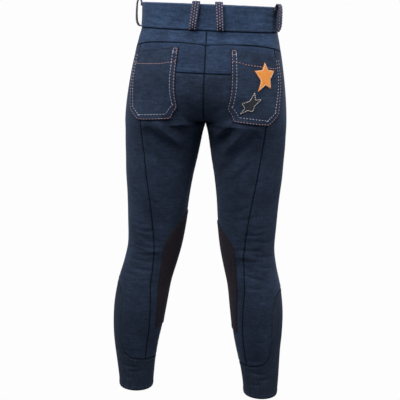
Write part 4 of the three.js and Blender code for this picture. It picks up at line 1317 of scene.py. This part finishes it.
# Shank button at the centre front. The profile is radius and distance out from the band.
buttonSet = {"shank": 0.7, "segments": 64}
buttonProfile = [(0, 0.7), (4, 0.7), (4, 1.6), (7.9, 1.9), (8.5, 2.3), (8.5, 3.2), (8.1, 3.8), (7.4, 4.1),
                 (6.7, 4.0), (6.2, 3.7), (5.4, 3.7), (4.2, 4.0), (2.4, 4.4), (0, 4.5)]


def makeButton():
    low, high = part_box("waist_button")
    back = high[1] / mm + buttonSet["shank"]
    points, faces = [(0, back - buttonProfile[0][1], 0)], []
    segments = buttonSet["segments"]
    for radius, out in buttonProfile[1:-1]:
        for index in range(segments):
            angle = 2 * math.pi * index / segments
            points.append((radius * math.cos(angle), back - out, radius * math.sin(angle)))
    points.append((0, back - buttonProfile[-1][1], 0))
    ringCount = len(buttonProfile) - 2
    for index in range(segments):
        beside = (index + 1) % segments
        faces.append((0, 1 + index, 1 + beside))
        for ring in range(ringCount - 1):
            a, b = 1 + ring * segments + index, 1 + ring * segments + beside
            faces.append((a, a + segments, b + segments, b))
        top = 1 + (ringCount - 1) * segments
        faces.append((len(points) - 1, top + beside, top + index))
    piece = makePiece("metal_button", np.array(points, float), faces, buttonMetal)
    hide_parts("waist_button")


makeButton()
print("button set")


# Studio: a pale floor well below the hems and a white sky. Both look white, but throw only a
# little of their light back, so that the shade under the seat stays deep.
studio = {
    "floorHeight": -0.8, "floorSize": 60, "white": "#fdfdfd", "bounce": "#6f7278", "bounceStrength": 0.8,
}
lamps = [
    ("key", (0.45, 0.95, 1.0), (0, 0.03, -0.05), 0.8, 17),
    ("top", (0.0, 0.3, 1.15), (0, 0, -0.1), 0.8, 9),
    ("left_side", (1.4, 0.3, 0.5), (0, 0, -0.15), 0.9, 6),
    ("right_side", (-1.4, 0.4, 0.4), (0, 0, -0.2), 0.9, 9),
    ("front", (-0.5, -1.5, 1.0), (0, 0, -0.2), 1.2, 26),
]                                     # name, place, aim, size, watts


def whiteOnlyToTheEye(owner, shaded, whiteKind):
    # Plain white where it is looked at, and the shaded surface for the light that it throws back.
    white = addNode(owner, whiteKind, {"Color": linear(studio["white"])}).outputs[0]
    looked = addNode(owner, "ShaderNodeLightPath").outputs["Is Camera Ray"]
    both = addNode(owner, "ShaderNodeMixShader", links={0: looked, 1: shaded.outputs[0], 2: white})
    output = next(node for node in owner.node_tree.nodes if node.name.endswith("Output"))
    owner.node_tree.links.new(both.outputs[0], output.inputs[0])


def makeStudio():
    size = studio["floorSize"] / 2
    height = studio["floorHeight"]
    mesh = bpy.data.meshes.new("floor")
    corners = [(-size, -size, height), (size, -size, height), (size, size, height), (-size, size, height)]
    mesh.from_pydata(corners, [], [(0, 1, 2, 3)])
    floor = bpy.data.objects.new("floor", mesh)
    bpy.context.scene.collection.objects.link(floor)
    paint, principled, place = startMaterial("matt_floor_paint", {
        "Base Color": linear(studio["bounce"]), "Roughness": 0.95, "Specular IOR Level": 0.1,
    })
    whiteOnlyToTheEye(paint, principled, "ShaderNodeEmission")
    mesh.materials.append(paint)
    world = bpy.data.worlds.new("studio_sky")
    world.use_nodes = True
    background = world.node_tree.nodes["Background"]
    background.inputs["Color"].default_value = linear(studio["bounce"])
    background.inputs["Strength"].default_value = studio["bounceStrength"]
    whiteOnlyToTheEye(world, background, "ShaderNodeBackground")
    bpy.context.scene.world = world
    for name, place, aim, lampSize, watts in lamps:
        data = bpy.data.lights.new(name, "AREA")
        data.energy = watts
        data.size = lampSize
        lamp = bpy.data.objects.new(name, data)
        lamp.location = place
        lamp.rotation_euler = (Vector(aim) - Vector(place)).to_track_quat("-Z", "Y").to_euler()
        bpy.context.scene.collection.objects.link(lamp)
    bpy.context.scene.view_settings.view_transform = "Standard"


makeStudio()
print("studio lit")
